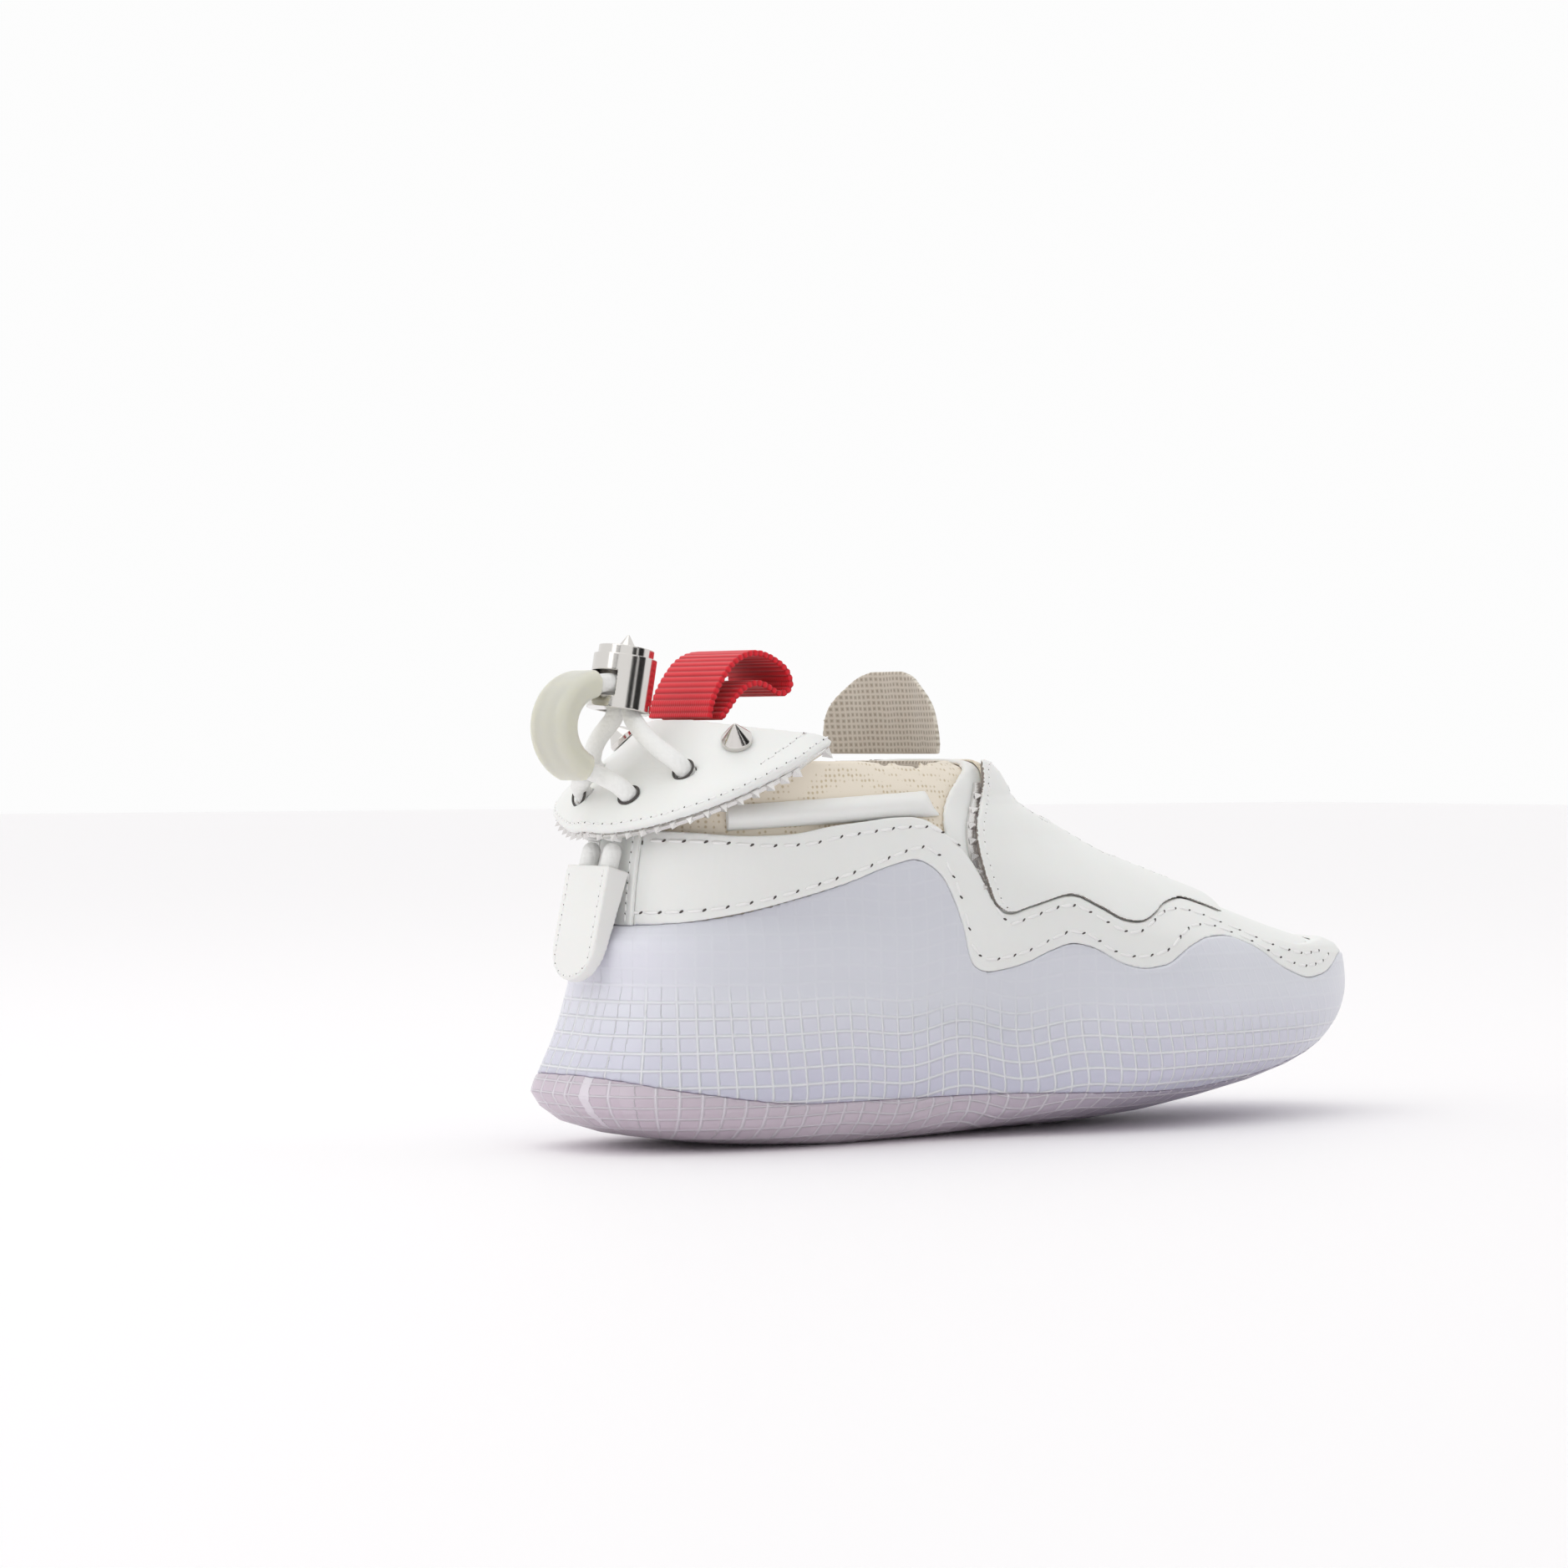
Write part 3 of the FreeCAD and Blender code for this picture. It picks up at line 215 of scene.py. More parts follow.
def moulded(name, base, deep, line_colour, relief):
    """Moulded thermoplastic rubber: soft gloss, light passing a little way in, raised lines."""
    mat, tree, shader = material(name, Roughness=0.34, Subsurface_Weight=0.25, IOR=1.5,
                                 Subsurface_Scale=0.02, Coat_Weight=0.15, Coat_Roughness=0.2)
    shader.inputs["Subsurface Radius"].default_value = (1.0, 0.75, 0.95)
    along = add_node(tree, "Attribute", attribute_name="cells_along").outputs["Fac"]
    rise = add_node(tree, "Attribute", attribute_name="cells_up").outputs["Fac"]
    weight = add_node(tree, "Attribute", attribute_name="grid_weight").outputs["Fac"]
    shade = add_node(tree, "Attribute", attribute_name="shade").outputs["Fac"]
    first, second = lines(tree, along, 0.13), lines(tree, rise, 0.15)
    both = add_node(tree, "Math", {0: first, 1: second}, operation="MAXIMUM").outputs[0]
    both = add_node(tree, "Math", {0: both, 1: weight}, operation="MULTIPLY").outputs[0]
    cloud = add_node(tree, "TexNoise", {"Scale": 22.0, "Detail": 3.0})
    veined = two_tone(tree, both, two_tone(tree, shade, base, deep), line_colour)
    tree.links.new(veined, shader.inputs["Base Color"])
    height = add_node(tree, "Math", {0: cloud.outputs["Fac"], 1: 0.12, 2: both},
                      operation="MULTIPLY_ADD").outputs[0]
    bump = add_node(tree, "Bump", {"Strength": 0.8, "Distance": relief, "Height": height})
    tree.links.new(bump.outputs[0], shader.inputs["Normal"])
    return mat


wall_rubber = moulded("moulded_clear_lilac_rubber", "#E3E2EE", "#BEBCD6", "#F4F3FA", 0.6 * MM)
tread_rubber = moulded("moulded_rose_lilac_rubber", "#CDBFCB", "#9089A6", "#E6DEE8", 0.6 * MM)
wall = softened("translucent_wall", "sole_wall", WALL_VOXEL, 5, wall_rubber)
tread = softened("outsole_tread", "sole_tread", WALL_VOXEL, 4, tread_rubber)

# the shoe's outline in plan, walked from the heel round the outer side to the toe and back
wall_low, wall_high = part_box("translucent_wall")
plan = coordinates(wall)
outline_centre = np.array([0.5 * (wall_low[0] + wall_high[0]), 0.0])
OUTLINE_STEPS = 240
outline = []
for k in range(OUTLINE_STEPS):
    share = k / OUTLINE_STEPS
    spin = 2 * math.pi * share
    way = np.array([-math.cos(spin), -math.sin(spin) * 0.45])
    reach = (plan[:, :2] - outline_centre) @ (way / np.linalg.norm(way))
    outline.append(outline_centre + (plan[np.argmax(reach), :2] - outline_centre))
outline = np.array(outline)
lengths = np.concatenate([[0], np.cumsum(np.linalg.norm(np.diff(outline, axis=0), axis=1))])
outline_tree = KDTree(OUTLINE_STEPS)
for k, point in enumerate(outline):
    outline_tree.insert((point[0], point[1], 0), k)
outline_tree.balance()


def walked(points):
    """Length round the outline for each point, measured where the outline is nearest."""
    result = np.zeros(len(points))
    for n, (x, y, z) in enumerate(points):
        near, k, _ = outline_tree.find((x, y, 0))
        ahead = outline[min(k + 1, OUTLINE_STEPS - 1)] - outline[max(k - 1, 0)]
        size = np.linalg.norm(ahead) + 1e-9
        result[n] = lengths[k] + ((x - near[0]) * ahead[0] + (y - near[1]) * ahead[1]) / size
    return result


for thing, cell in ((wall, GRID_CELL), (tread, TREAD_CELL)):
    points = coordinates(thing)
    round_way = walked(points)
    x, z = points[:, 0], points[:, 2]
    waist = np.exp(-((x + 25 * MM) / (38 * MM)) ** 2)
    lean = np.clip((x - 20 * MM) / (60 * MM), 0, 1)
    attribute(thing, "cells_along", (round_way + 0.55 * z * lean) / cell)
    ripple = 1.8 * MM * np.sin(round_way / (7 * MM)) * waist
    attribute(thing, "cells_up", (z + ripple) / (cell * (0.85 if thing is wall else 0.5)))
    if thing is wall:
        fade = 1 - np.clip((z - (30 * MM - 0.06 * x)) / (10 * MM), 0, 1)
        attribute(thing, "grid_weight", np.clip(fade, 0.12, 1))
        attribute(thing, "shade", np.clip((38 * MM - z) / (30 * MM), 0, 1) * 0.8)
    else:
        attribute(thing, "grid_weight", np.ones(len(z)))
        attribute(thing, "shade", np.clip(0.25 + x / (160 * MM), 0, 1))


# ---------------------------------------------------------------- white leather pieces
# Smooth full-grain calf with a pigment finish, cut in panels. The fingered panels' cut edges are painted,
# every edge is rounded over, and the vamp is one lasted piece under the side bands and the fingered
# panels.
def leather(name, colour, shadow, grain=1.1 * MM, relief=0.05 * MM):
    """Pigmented calf: satin, with a fine pebble and faint rolling creases."""
    mat, tree, shader = material(name, Roughness=0.42, IOR=1.5, Coat_Weight=0.08,
                                 Coat_Roughness=0.35, Subsurface_Weight=0.06, Subsurface_Scale=0.004)
    place = add_node(tree, "TexCoord").outputs["Object"]
    pebble = add_node(tree, "TexVoronoi", {"Vector": place, "Scale": 1 / grain}, feature="SMOOTH_F1")
    crease = add_node(tree, "TexNoise", {"Vector": place, "Scale": 45.0, "Detail": 6.0})
    tree.links.new(two_tone(tree, crease.outputs["Fac"], shadow, colour), shader.inputs["Base Color"])
    height = add_node(tree, "Math", {0: crease.outputs["Fac"], 1: 2.2, 2: pebble.outputs["Distance"]},
                      operation="MULTIPLY_ADD").outputs[0]
    bump = add_node(tree, "Bump", {"Strength": 0.55, "Distance": relief, "Height": height})
    tree.links.new(bump.outputs[0], shader.inputs["Normal"])
    return mat


white_calf = leather("white_pigmented_calf", "#F1F1EF", "#E9E9E6")
cream_split = leather("cream_split_leather", "#EFE6D6", "#E4D8C4", 0.8 * MM)
softened("vamp_leather", "vamp", 0.8 * MM, 10, white_calf)
softened("ridge_underlay", "finger_underlay", 0.4 * MM, 8, cream_split)
edge_paint, _, _ = material("taupe_edge_paint", Base_Color=srgb("#8C837C"), Roughness=0.55)


def painted_edges(thing, axis_height, share):
    """Edge paint on the faces that stand square to the shoe's skin."""
    thing.data.materials.append(edge_paint)
    for face in thing.data.polygons:
        centre = face.center
        out = Vector((0.0, centre.y, centre.z - axis_height)).normalized()
        if abs(face.normal.dot(out)) < share:
            face.material_index = 1


bands, panels = {}, {}
for side in ("lateral", "medial"):
    bands[side] = softened("leather_band_" + side, "side_band_" + side, 0.42 * MM, 5,
                           white_calf)
    panels[side] = softened("vamp_panel_" + side, "fingered_panel_" + side, 0.36 * MM, 4,
                            white_calf)
    painted_edges(panels[side], 40 * MM, 0.42)
strip = softened("heel_strip", "heel_cover_strip", 0.3 * MM, 4, white_calf)

# stitches: thick twisted thread in long slanted stitches, each end sunk in a needle hole
THREAD, _, _ = material("waxed_white_thread", Base_Color=srgb("#F2F1F0"), Roughness=0.5, Sheen_Weight=0.2)
HOLE, _, _ = material("needle_hole_shadow", Base_Color=srgb("#55504E"), Roughness=0.9)


def stitched(name, body, places, long, wide):
    """One mesh of stitches; places holds (point, outward normal, direction along the seam)."""
    mesh = bmesh.new()
    for point, out, ahead in places:
        ahead = (ahead - out * ahead.dot(out)).normalized()
        over = out.cross(ahead)
        for part, half, thick, lift, slant in ((0, 0.43 * long, 0.5 * wide, 0.0, 0.0),
                                               (1, 0.13 * long, 0.32 * wide, -0.05 * MM, 0.5)):
            centre = point + out * lift + ahead * (0.0 if part == 0 else 0.5 * long)
            run = (ahead + over * slant).normalized()
            cross = out.cross(run)
            rings = []
            for step, swell in ((-1, 0.25), (-0.72, 0.85), (0, 1.0), (0.72, 0.85), (1, 0.25)):
                ring = []
                for k in range(6):
                    spin = math.pi * k / 3
                    ring.append(mesh.verts.new(centre + run * (step * half)
                                               + cross * (math.cos(spin) * thick * swell)
                                               + out * (math.sin(spin) * thick * swell * 0.7)))
                rings.append(ring)
            for first, second in zip(rings, rings[1:]):
                for k in range(6):
                    face = mesh.faces.new((first[k], first[(k + 1) % 6], second[(k + 1) % 6], second[k]))
                    face.material_index, face.smooth = part, True
            for ring in (rings[0], rings[-1]):
                mesh.faces.new(ring).material_index = part
    bmesh.ops.recalc_face_normals(mesh, faces=mesh.faces)
    data = bpy.data.meshes.new(name)
    mesh.to_mesh(data)
    data.materials.append(THREAD)
    data.materials.append(HOLE)
    made = bpy.data.objects.new(name, data)
    bpy.context.scene.collection.objects.link(made)
    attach(made, body)
    return made


def surface(thing):
    points = [vertex.co.copy() for vertex in thing.data.vertices]
    return BVHTree.FromPolygons(points, [list(face.vertices) for face in thing.data.polygons])


def edge_profile(thing, step=1.5 * MM):
    """Lowest and highest height of a band at each length round the shoe."""
    points = coordinates(thing)
    bins = np.round(walked(points) / step).astype(int)
    low, high = {}, {}
    for n, z in zip(bins, points[:, 2]):
        low[n], high[n] = min(low.get(n, 9.0), z), max(high.get(n, -9.0), z)
    keys = sorted(low)
    ease = np.ones(3) / 3
    lows = np.convolve([low[k] for k in keys], ease, "same")
    highs = np.convolve([high[k] for k in keys], ease, "same")
    return np.array(keys) * step, lows, highs


def seam_places(thing, level, pitch):
    """Stitch places along a band, at each length at a height that level gives from the band's low and high
    edge.
    """
    tree = surface(thing)
    runs, lows, highs = edge_profile(thing)
    path = []
    for run, low, high in list(zip(runs, lows, highs))[3:-3]:
        x = np.interp(run, lengths[:OUTLINE_STEPS], outline[:, 0])
        y = np.interp(run, lengths[:OUTLINE_STEPS], outline[:, 1])
        z = level(low, high)
        if z is None:
            continue
        start = Vector((x, y, z))
        inward = Vector((outline_centre[0] * 0.5 + 0.5 * x - x, -y, 0)).normalized()
        hit, normal, _, _ = tree.ray_cast(start - inward * 20 * MM, inward, 60 * MM)
        if hit is not None:
            path.append((hit, normal if normal.dot(inward) < 0 else -normal))
    places, last_hit = [], None
    for (hit, normal), (following, _) in zip(path, path[1:]):
        if last_hit is None or (hit - last_hit).length >= pitch:
            if (following - hit).length < 8 * MM and (following - hit).length > 1e-6:
                places.append((hit, normal, (following - hit).normalized()))
                last_hit = hit
    return places


def lower_row(low, high):
    return low + LOW_INSET if high - low > LOW_ROOM else None


def upper_row(low, high):
    return high - HIGH_INSET if high - low > HIGH_ROOM else None


# insets from the band's edges, the band heights that have room for each row, and the pitch
LOW_INSET, LOW_ROOM, HIGH_INSET, HIGH_ROOM, BAND_PITCH = 3.4 * MM, 7 * MM, 2.6 * MM, 8 * MM, 5.6 * MM
for side, band in bands.items():
    rows = seam_places(band, lower_row, BAND_PITCH) + seam_places(band, upper_row, BAND_PITCH)
    stitched("band_stitches_" + side, "shoe", rows, 4.9 * MM, 1.0 * MM)


# two seams down the heel strip, found where each height line meets its cover
def struck(tree, start, aim):
    """Where a line from start towards aim meets a surface, with the normal facing start."""
    way = (aim - start).normalized()
    hit, normal, _, _ = tree.ray_cast(start, way)
    if hit is None:
        return None
    return hit, (normal if normal.dot(way) < 0 else -normal)


strip_low, strip_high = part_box("heel_strip")
strip_tree = surface(strip)
strip_seams = []
for y in (strip_low[1] + 2.2 * MM, strip_high[1] - 2.2 * MM):
    z = strip_low[2] + 2 * MM
    while z < strip_high[2] - 1.5 * MM:
        found = struck(strip_tree, Vector((strip_low[0] - 20 * MM, y, z)), Vector((0, y, z)))
        if found:
            strip_seams.append((found[0], found[1], Vector((0, 0, 1))))
        z += 2.7 * MM
stitched("heel_strip_stitches", "shoe", strip_seams, 2.3 * MM, 0.7 * MM)


# small stitches follow each panel's rear edge and its fingers; the fingers' edge is traced from
# above, station by station, and the rear edge from the side, level by level
def traced_edge(thing, walk, measure, step=0.8 * MM):
    """The least coordinate of a piece in each step along one axis; across, the least distance."""
    found = {}
    for point in coordinates(thing):
        cell = int(round(point[walk] / step))
        value = abs(point[measure]) if measure == 1 else point[measure]
        found[cell] = min(found.get(cell, value), value)
    return [(cell * step, found[cell]) for cell in sorted(found)]


def seam_on(tree, feet, pitch, jump=6 * MM):
    """Stitch places where lines from (foot, way) pairs meet a piece, spaced by pitch."""
    hits = [found for found in (struck(tree, foot, foot + way) for foot, way in feet) if found]
    places, last_hit = [], None
    for (hit, out), (following, _) in zip(hits, hits[1:]):
        spaced = last_hit is None or (hit - last_hit).length >= pitch
        if spaced and 1e-6 < (following - hit).length < jump:
            places.append((hit, out, (following - hit).normalized()))
            last_hit = hit
    return places


PANEL_PITCH, PANEL_INSET = 2.6 * MM, 2.3 * MM
for side, sign in (("lateral", -1), ("medial", 1)):
    panel_tree = surface(panels[side])
    fingers = traced_edge(panels[side], 0, 1)
    fingers = [(x, y) for x, y in fingers if y > 1 * MM]
    feet = []
    for (x0, y0), (x1, y1) in zip(fingers[6:], fingers[8:]):
        ahead = Vector((x1 - x0, y1 - y0)).normalized()
        foot = Vector((0.5 * (x0 + x1) - ahead.y * PANEL_INSET,
                       sign * (0.5 * (y0 + y1) + ahead.x * PANEL_INSET), 200 * MM))
        feet.append((foot, Vector((0, 0, -1))))
    seams = seam_on(panel_tree, feet, PANEL_PITCH)
    rear = traced_edge(panels[side], 2, 0)
    feet = [(Vector((x + PANEL_INSET, sign * 90 * MM, z)), Vector((0, -sign, 0))) for z, x in rear[5:-4]]
    seams += seam_on(panel_tree, feet, PANEL_PITCH)
    stitched("panel_stitches_" + side, "shoe", seams, 1.9 * MM, 0.6 * MM)


# ---------------------------------------------------------------- knitted bootie and inside
# Ivory spacer mesh with a dotted face, the dots painted shade in its open stitches, and a white knitted
# footbed cover inside.
def knitted(name, colour, dot, spacing, relief):
    """Warp-knit spacer mesh: matt, with a dot of painted shade sunk at each open stitch."""
    mat, tree, shader = material(name, Roughness=0.82, Sheen_Weight=0.3, Sheen_Roughness=0.5)
    place = add_node(tree, "TexCoord").outputs["Object"]
    cells = add_node(tree, "TexVoronoi", {"Vector": place, "Scale": 1 / spacing, "Randomness": 0.25})
    hole_depth_and_shade = add_node(tree, "MapRange", {"Value": cells.outputs["Distance"], "From Min": 0.16,
                                        "From Max": 0.34})
    # each open stitch is sunk and painted darker than the yarn: painted shade in the hole
    tree.links.new(two_tone(tree, hole_depth_and_shade.outputs[0], dot, colour), shader.inputs["Base Color"])
    bump = add_node(tree, "Bump", {"Strength": 0.7, "Distance": relief, "Height": hole_depth_and_shade.outputs[0]})
    tree.links.new(bump.outputs[0], shader.inputs["Normal"])
    return mat


ivory_mesh = knitted("ivory_spacer_mesh", "#F1E7D6", "#D2C1A3", 1.5 * MM, 0.2 * MM)
softened("knit_bootie", "bootie", 0.9 * MM, 8, ivory_mesh)
sock_cover = knitted("white_knitted_cover", "#F1EFEB", "#DAD6CF", 1.2 * MM, 0.15 * MM)
softened("footbed", "footbed_cover", 0.8 * MM, 3, sock_cover)
for side in ("lateral", "medial"):
    softened("ankle_cord_" + side, "ankle_casing_" + side, 0.35 * MM, 6, white_calf)


# ---------------------------------------------------------------- collar flap and its trims
# A stiff white calf wing, lined and turned at the edge, stitched close to the rim. Under the rim
# sits a tape of faceted pressed-metal teeth; two lathe-turned cone studs are screwed through.
flap = softened("collar_flap", "collar_wing", 0.4 * MM, 6, white_calf)
lining_calf = leather("white_lining_leather", "#F1EFEC", "#E6E3DF", 0.7 * MM)
softened("flap_lining", "wing_lining", 0.3 * MM, 2, lining_calf)
nickel, nickel_tree, nickel_shader = material("polished_nickel_plate", Base_Color=srgb("#D9D6D2"),
                                              Metallic=1.0, Roughness=0.13)
swirl = add_node(nickel_tree, "TexNoise", {"Scale": 900.0, "Detail": 2.0})
swirl_bump = add_node(nickel_tree, "Bump", {"Strength": 0.06, "Distance": 0.05 * MM,
                                            "Height": swirl.outputs["Fac"]})
nickel_tree.links.new(swirl_bump.outputs[0], nickel_shader.inputs["Normal"])
pressed_silver, _, _ = material("pressed_silver_teeth", Base_Color=srgb("#DEDCDA"), Metallic=0.85,
                                Roughness=0.24)
for node, name in (("stud_lateral", "cone_stud_lateral"), ("stud_medial", "cone_stud_medial"),
                   ("cord_lock_drum", "nickel_drum"), ("cord_lock_plunger", "nickel_plunger")):
    softened(node, name, 0.16 * MM, 4, nickel)
for node in ("flap_tooth_trim", "tooth_trim_lateral", "tooth_trim_medial"):
    thing = frame["nodes"][node]
    thing.data.materials.clear()
    thing.data.materials.append(pressed_silver)


# one row of small stitches follows the wing's lower rim and a second joins it near each tip
flap_low, flap_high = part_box("collar_flap")
flap_tree = surface(flap)
flap_centre = Vector((flap_low[0] + 0.72 * (flap_high[0] - flap_low[0]), 0, 0))
flap_points = coordinates(flap)
turns = np.arctan2(flap_points[:, 1], flap_centre.x - flap_points[:, 0])
RIM_STEP, RIM_INSET, RIM_PITCH = math.radians(1.5), 2.6 * MM, 2.8 * MM
RIM_CELLS, TIP_CELLS = 78, 52  # steps from the heel to each tip, and to where the second row starts
rim_cells = np.round(turns / RIM_STEP).astype(int)
rim_heights = {cell: flap_points[rim_cells == cell, 2].min() for cell in sorted(set(rim_cells))}
rim_seams = []
for row in (0, 1):
    feet = []
    for cell in range(-RIM_CELLS, RIM_CELLS + 1):
        near = [rim_heights[k] for k in (cell - 1, cell, cell + 1) if k in rim_heights]
        if len(near) < 3 or (row == 1 and abs(cell) < TIP_CELLS):
            continue
        spin = cell * RIM_STEP
        out = Vector((-math.cos(spin), math.sin(spin), 0))
        foot = flap_centre + out * 90 * MM
        foot.z = sum(near) / 3 + RIM_INSET * (1 + row)
        feet.append((foot, -out))
    rim_seams += seam_on(flap_tree, feet, RIM_PITCH, 5 * MM)
stitched("wing_stitches", "shoe", rim_seams, 2.2 * MM, 0.65 * MM)

# the cord holes are bound by dark rubber rings, laid where the cords meet the wing's face
eyelet_rubber, _, _ = material("dark_rubber_eyelet", Base_Color=srgb("#4A4644"), Roughness=0.6)
for side in ("lateral", "medial"):
    cord_tree = surface(frame["nodes"]["lock_cord_" + side])
    rims = []
    for vertex in flap.data.vertices:
        near = cord_tree.find_nearest(vertex.co)
        if near[0] is not None and near[3] < 0.9 * MM:
            rims.append(vertex.co.copy())
    middle_x = sum(point.x for point in rims) / max(len(rims), 1)
    groups = [[p for p in rims if p.x < middle_x], [p for p in rims if p.x >= middle_x]]
    for number, group in enumerate(groups):
        if len(group) < 12:
            continue
        cloud = np.array([point[:] for point in group])
        centre = cloud.mean(axis=0)
        beyond = Vector(centre) + (Vector(centre) - flap_centre).normalized() * 4 * MM
        _, normal, _, _ = flap_tree.find_nearest(beyond)
        outer = Vector(centre) + normal * max((cloud - centre) @ np.array(normal[:]))
        bpy.ops.mesh.primitive_torus_add(major_radius=3.0 * MM, minor_radius=0.34 * MM, location=outer,
                                         rotation=normal.to_track_quat("Z", "Y").to_euler())
        ring = bpy.context.object
        ring.name = "eyelet_%s_%d" % (side, number)
        ring.data.materials.append(eyelet_rubber)
        ring.data.shade_smooth()
        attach(ring, "shoe")


# ---------------------------------------------------------------- pull loop
# Red ribbed grosgrain ribbon folded on itself, tacked into the wing's upper edge.
RIB_PITCH = 1.75 * MM
ROUTE_MM = [(44.4, 114.3), (45.3, 119), (48.6, 125), (54, 130.4), (60.5, 132), (66.8, 130),
            (71, 126.3), (71.4, 122.9), (68.9, 121.2), (64.3, 122.9), (59.7, 123.9), (55, 121.9),
            (50.8, 117.5), (48, 114.3)]
HALF_PATTERN = 142.5
red_grosgrain, red_tree, red_shader = material("red_grosgrain", Roughness=0.62, Sheen_Weight=0.35,
                                               Sheen_Roughness=0.4)
place = add_node(red_tree, "TexCoord").outputs["Object"]
warp = add_node(red_tree, "TexWave", {"Vector": place, "Scale": 330.0, "Distortion": 0.6},
                bands_direction="Y")
rib_shade_and_highlight = add_node(red_tree, "Attribute", attribute_name="rib_shade_and_highlight").outputs["Fac"]
# the ribbon's red is painted darker in the valleys between ribs and brighter on their crests: painted
# shade and painted highlight
red_tree.links.new(two_tone(red_tree, rib_shade_and_highlight, "#A00014", "#E20A24"), red_shader.inputs["Base Color"])
thread_bump = add_node(red_tree, "Bump", {"Strength": 0.4, "Distance": 0.12 * MM,
                                          "Height": warp.outputs["Fac"]})
red_tree.links.new(thread_bump.outputs[0], red_shader.inputs["Normal"])

route = np.array([((x - HALF_PATTERN) * MM, z * MM) for x, z in ROUTE_MM])
fine, travelled = [], []
for k in range(len(route) - 1):
    before, after = route[max(k - 1, 0)], route[min(k + 2, len(route) - 1)]
    for step in range(12):
        t = step / 12
        fine.append(0.5 * (2 * route[k] + (route[k + 1] - before) * t
                           + (2 * before - 5 * route[k] + 4 * route[k + 1] - after) * t * t
                           + (3 * route[k] - before - 3 * route[k + 1] + after) * t ** 3))
fine = np.array(fine)
travelled = np.concatenate([[0], np.cumsum(np.linalg.norm(np.diff(fine, axis=0), axis=1))])
loop = softened("pull_loop", "grosgrain_loop", 0.3 * MM, 3, red_grosgrain)
ribbon_tree = KDTree(len(fine))
for k, point in enumerate(fine):
    ribbon_tree.insert((point[0], 0, point[1]), k)
ribbon_tree.balance()
points = coordinates(loop)
normals = np.array([vertex.normal[:] for vertex in loop.data.vertices])
ribs = np.zeros(len(points))
for n, (x, y, z) in enumerate(points):
    near, k, _ = ribbon_tree.find((x, 0, z))
    ahead = fine[min(k + 1, len(fine) - 1)] - fine[max(k - 1, 0)]
    run = travelled[k] + ((x - near[0]) * ahead[0] + (z - near[2]) * ahead[1]) / np.linalg.norm(ahead)
    ribs[n] = abs(math.sin(math.pi * run / RIB_PITCH)) ** 0.6
points += normals * ((ribs - 0.75) * 0.42 * MM)[:, None]
loop.data.vertices.foreach_set("co", points.reshape(-1))
# the rib profile also sets the painted shade in each valley and the painted highlight on each crest
attribute(loop, "rib_shade_and_highlight", ribs)
anchor = softened("loop_anchor", "ribbon_foot", 0.4 * MM, 3, red_grosgrain)
# the ribbon's foot takes one even, mostly bright share of the painted rib shade and highlight
attribute(anchor, "rib_shade_and_highlight", np.full(len(anchor.data.vertices), 0.8))

# ---------------------------------------------------------------- net tongue
# Fine taupe tulle in loose pleats, doubled at the edge.
taupe_net, net_tree, net_shader = material("taupe_tulle", Roughness=0.75, Sheen_Weight=0.25)
place = add_node(net_tree, "TexCoord").outputs["Object"]
first = add_node(net_tree, "TexWave", {"Vector": place, "Scale": 190.0, "Distortion": 1.2, "Detail": 1.0},
                 bands_direction="Y")
second = add_node(net_tree, "TexWave", {"Vector": place, "Scale": 190.0, "Distortion": 1.2, "Detail": 1.0},
                  bands_direction="Z")
net_relief_and_shade = add_node(net_tree, "Math", {0: first.outputs["Fac"], 1: second.outputs["Fac"]},
                       operation="MAXIMUM")
# the tulle is painted darker in the hollows between its threads: painted shade in the open holes
net_tree.links.new(two_tone(net_tree, net_relief_and_shade.outputs[0], "#A69C8B", "#DAD3C6"),
                   net_shader.inputs["Base Color"])
net_bump = add_node(net_tree, "Bump", {"Strength": 0.6, "Distance": 0.15 * MM,
                                       "Height": net_relief_and_shade.outputs[0]})
net_tree.links.new(net_bump.outputs[0], net_shader.inputs["Normal"])
tongue = softened("tongue", "net_tongue", 0.4 * MM, 4, taupe_net)
points = coordinates(tongue)
fold = 0.35 * MM * np.sin(points[:, 1] / (2.1 * MM)) * np.clip((points[:, 2] - 105 * MM) / (12 * MM), 0, 1)
points[:, 0] += fold
tongue.data.vertices.foreach_set("co", points.reshape(-1))
softened("tongue_base", "tongue_foot", 0.5 * MM, 4, taupe_net)

# ---------------------------------------------------------------- cords, grip and tab
# Round white sennit cords run from the wing through the nickel lock and a soft clear grip; a
# padded leather tab hangs under the wing on two more.
white_braid, braid_tree, braid_shader = material("white_braided_polyester", Base_Color=srgb("#F1F1EF"),
                                                 Roughness=0.7, Sheen_Weight=0.3)
place = add_node(braid_tree, "TexCoord").outputs["Object"]
plait = add_node(braid_tree, "TexVoronoi", {"Vector": place, "Scale": 1 / (1.3 * MM), "Randomness": 0.35})
plait_bump = add_node(braid_tree, "Bump", {"Strength": 0.8, "Distance": 0.3 * MM,
                                           "Height": plait.outputs["Distance"]}, invert=True)
braid_tree.links.new(plait_bump.outputs[0], braid_shader.inputs["Normal"])
for node in ("lock_cord_lateral", "lock_cord_medial", "tab_cord_lateral", "tab_cord_medial",
             "tab_hanger_lateral", "tab_hanger_medial"):
    softened(node, node + "_braid", 0.4 * MM, 3, white_braid)
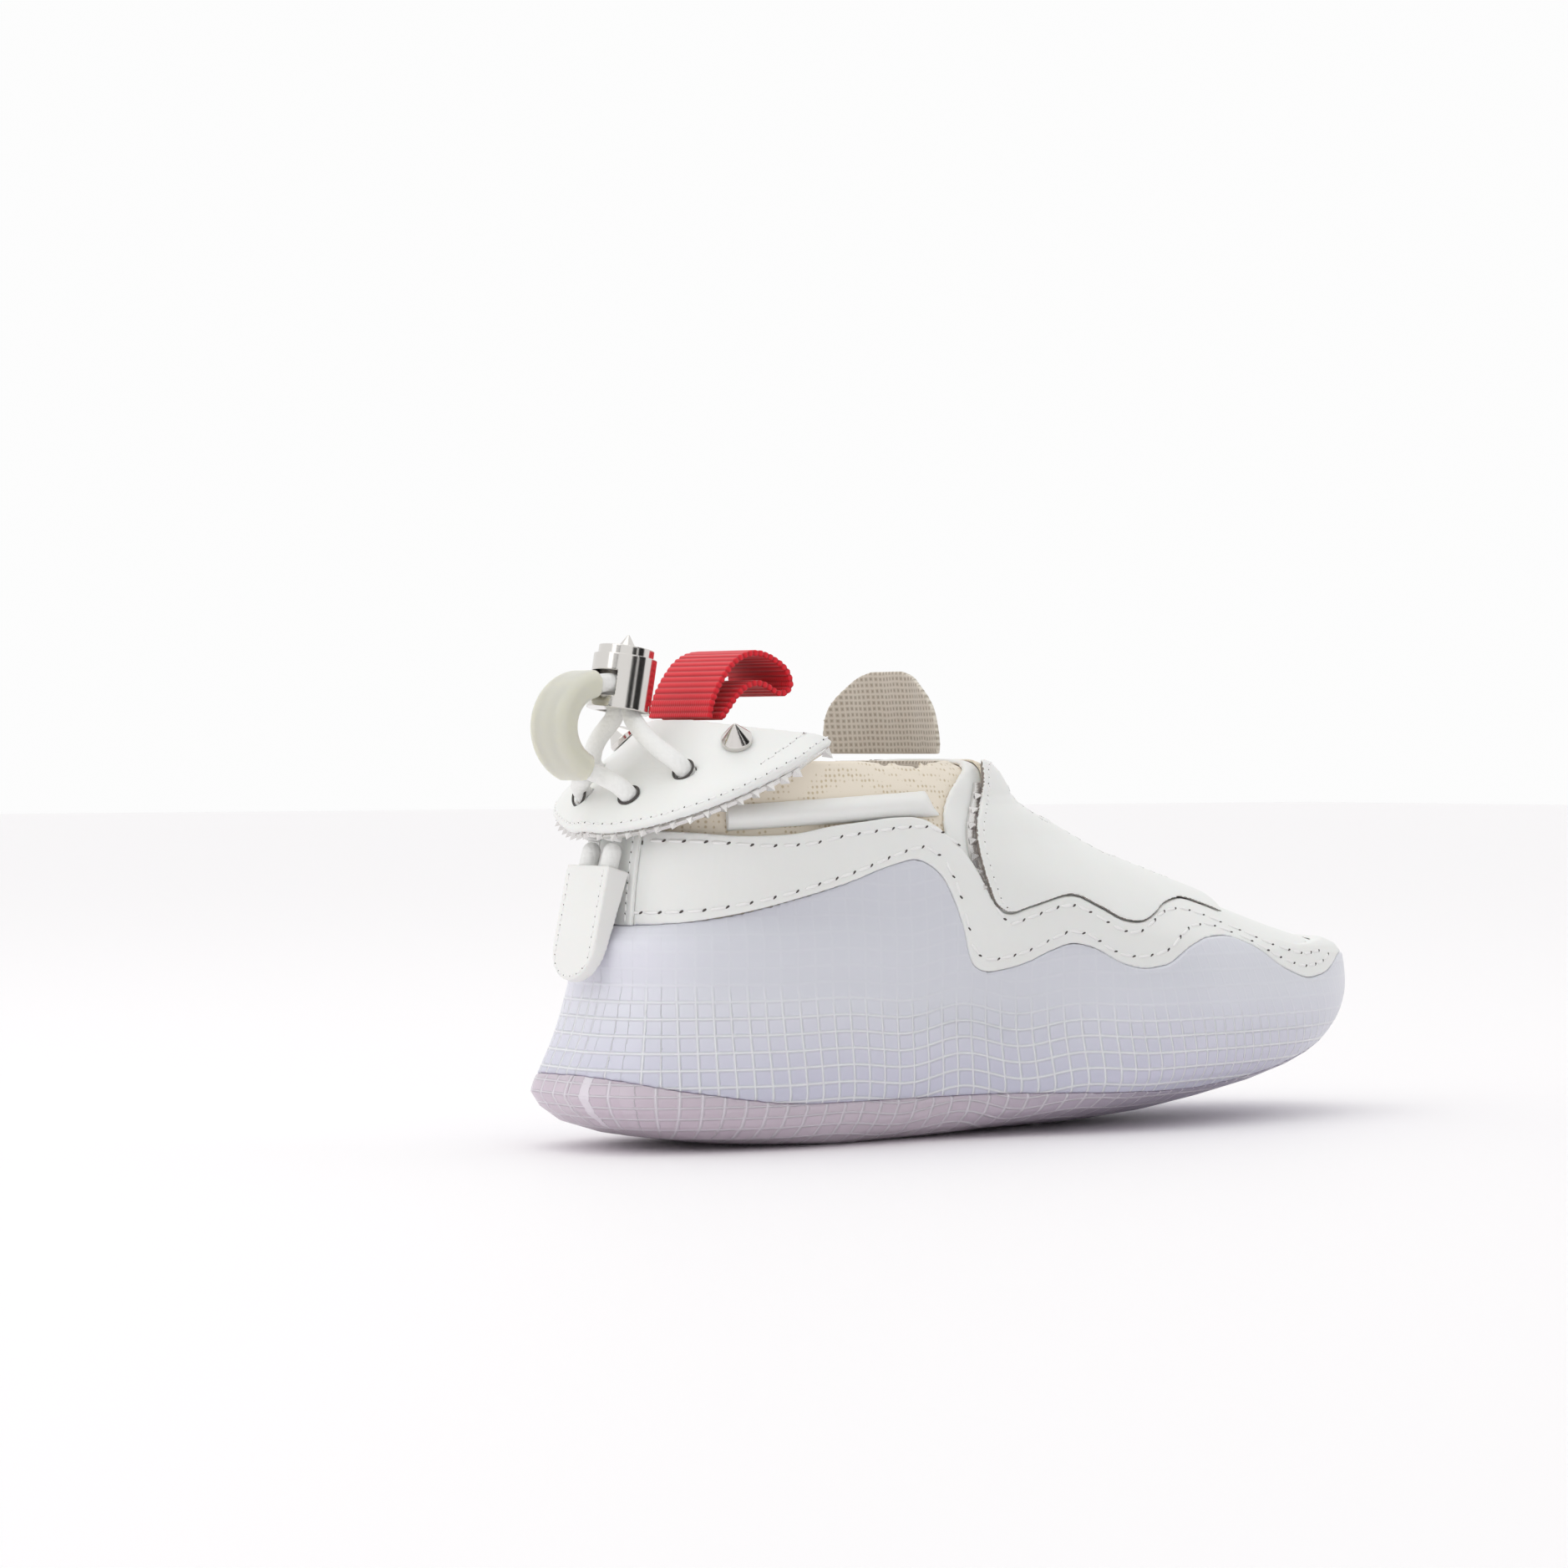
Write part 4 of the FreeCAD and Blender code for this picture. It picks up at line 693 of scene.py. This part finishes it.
clear_tpu, _, tpu_shader = material("cast_clear_yellow_polyurethane", Base_Color=srgb("#FBF8DC"),
                                    Roughness=0.28, IOR=1.5, Subsurface_Weight=0.5,
                                    Subsurface_Scale=0.012, Transmission_Weight=0.25)
tpu_shader.inputs["Subsurface Radius"].default_value = (1.0, 0.95, 0.6)
softened("cord_grip", "soft_grip", 0.45 * MM, 6, clear_tpu)
tab = softened("tab", "hanging_tab", 0.5 * MM, 8, white_calf)
tab_low, tab_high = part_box("tab")
tab_tree = surface(tab)
TAB_INSET = 1.9 * MM
tab_half = 0.5 * (tab_high[1] - tab_low[1]) - TAB_INSET
turn_height = tab_low[2] + TAB_INSET + tab_half * 0.8
TAB_STEPS, tab_top = 24, tab_high[2] - TAB_INSET
tab_path = [(-tab_half, tab_top - step * (tab_top - turn_height) / TAB_STEPS) for step in range(TAB_STEPS)]
for step in range(TAB_STEPS + 1):
    spin = math.pi * step / TAB_STEPS
    tab_path.append((-tab_half * math.cos(spin), turn_height - 0.8 * tab_half * math.sin(spin)))
tab_path += [(tab_half, height) for _, height in reversed(tab_path[:TAB_STEPS])]
feet = [(Vector((tab_low[0] - 30 * MM, y, z)), Vector((1, 0, 0))) for y, z in tab_path]
tab_seams = seam_on(tab_tree, feet, 2.5 * MM)
stitched("tab_stitches", "tab", tab_seams, 1.9 * MM, 0.6 * MM)

# ---------------------------------------------------------------- hidden structure
# Fibre board, foam, steel shank and the studs' screws, seen only through the collar.
fibre_board, _, _ = material("fibre_board", Base_Color=srgb("#D8CDB8"), Roughness=0.85)
white_foam, _, _ = material("white_foam", Base_Color=srgb("#F0F0EE"), Roughness=0.8)
plain_steel, _, _ = material("zinc_plated_steel", Base_Color=srgb("#A9A8A6"), Metallic=1.0, Roughness=0.35)
for mat, names in ((fibre_board, ("insole_board", "heel_counter_lateral", "heel_counter_medial")),
                   (white_foam, ("foam_core",)),
                   (plain_steel, ("shank", "stud_screw_lateral", "stud_screw_medial")),
                   (lining_calf, ("flap_seam",))):
    for node in names:
        frame["nodes"][node].data.materials.clear()
        frame["nodes"][node].data.materials.append(mat)
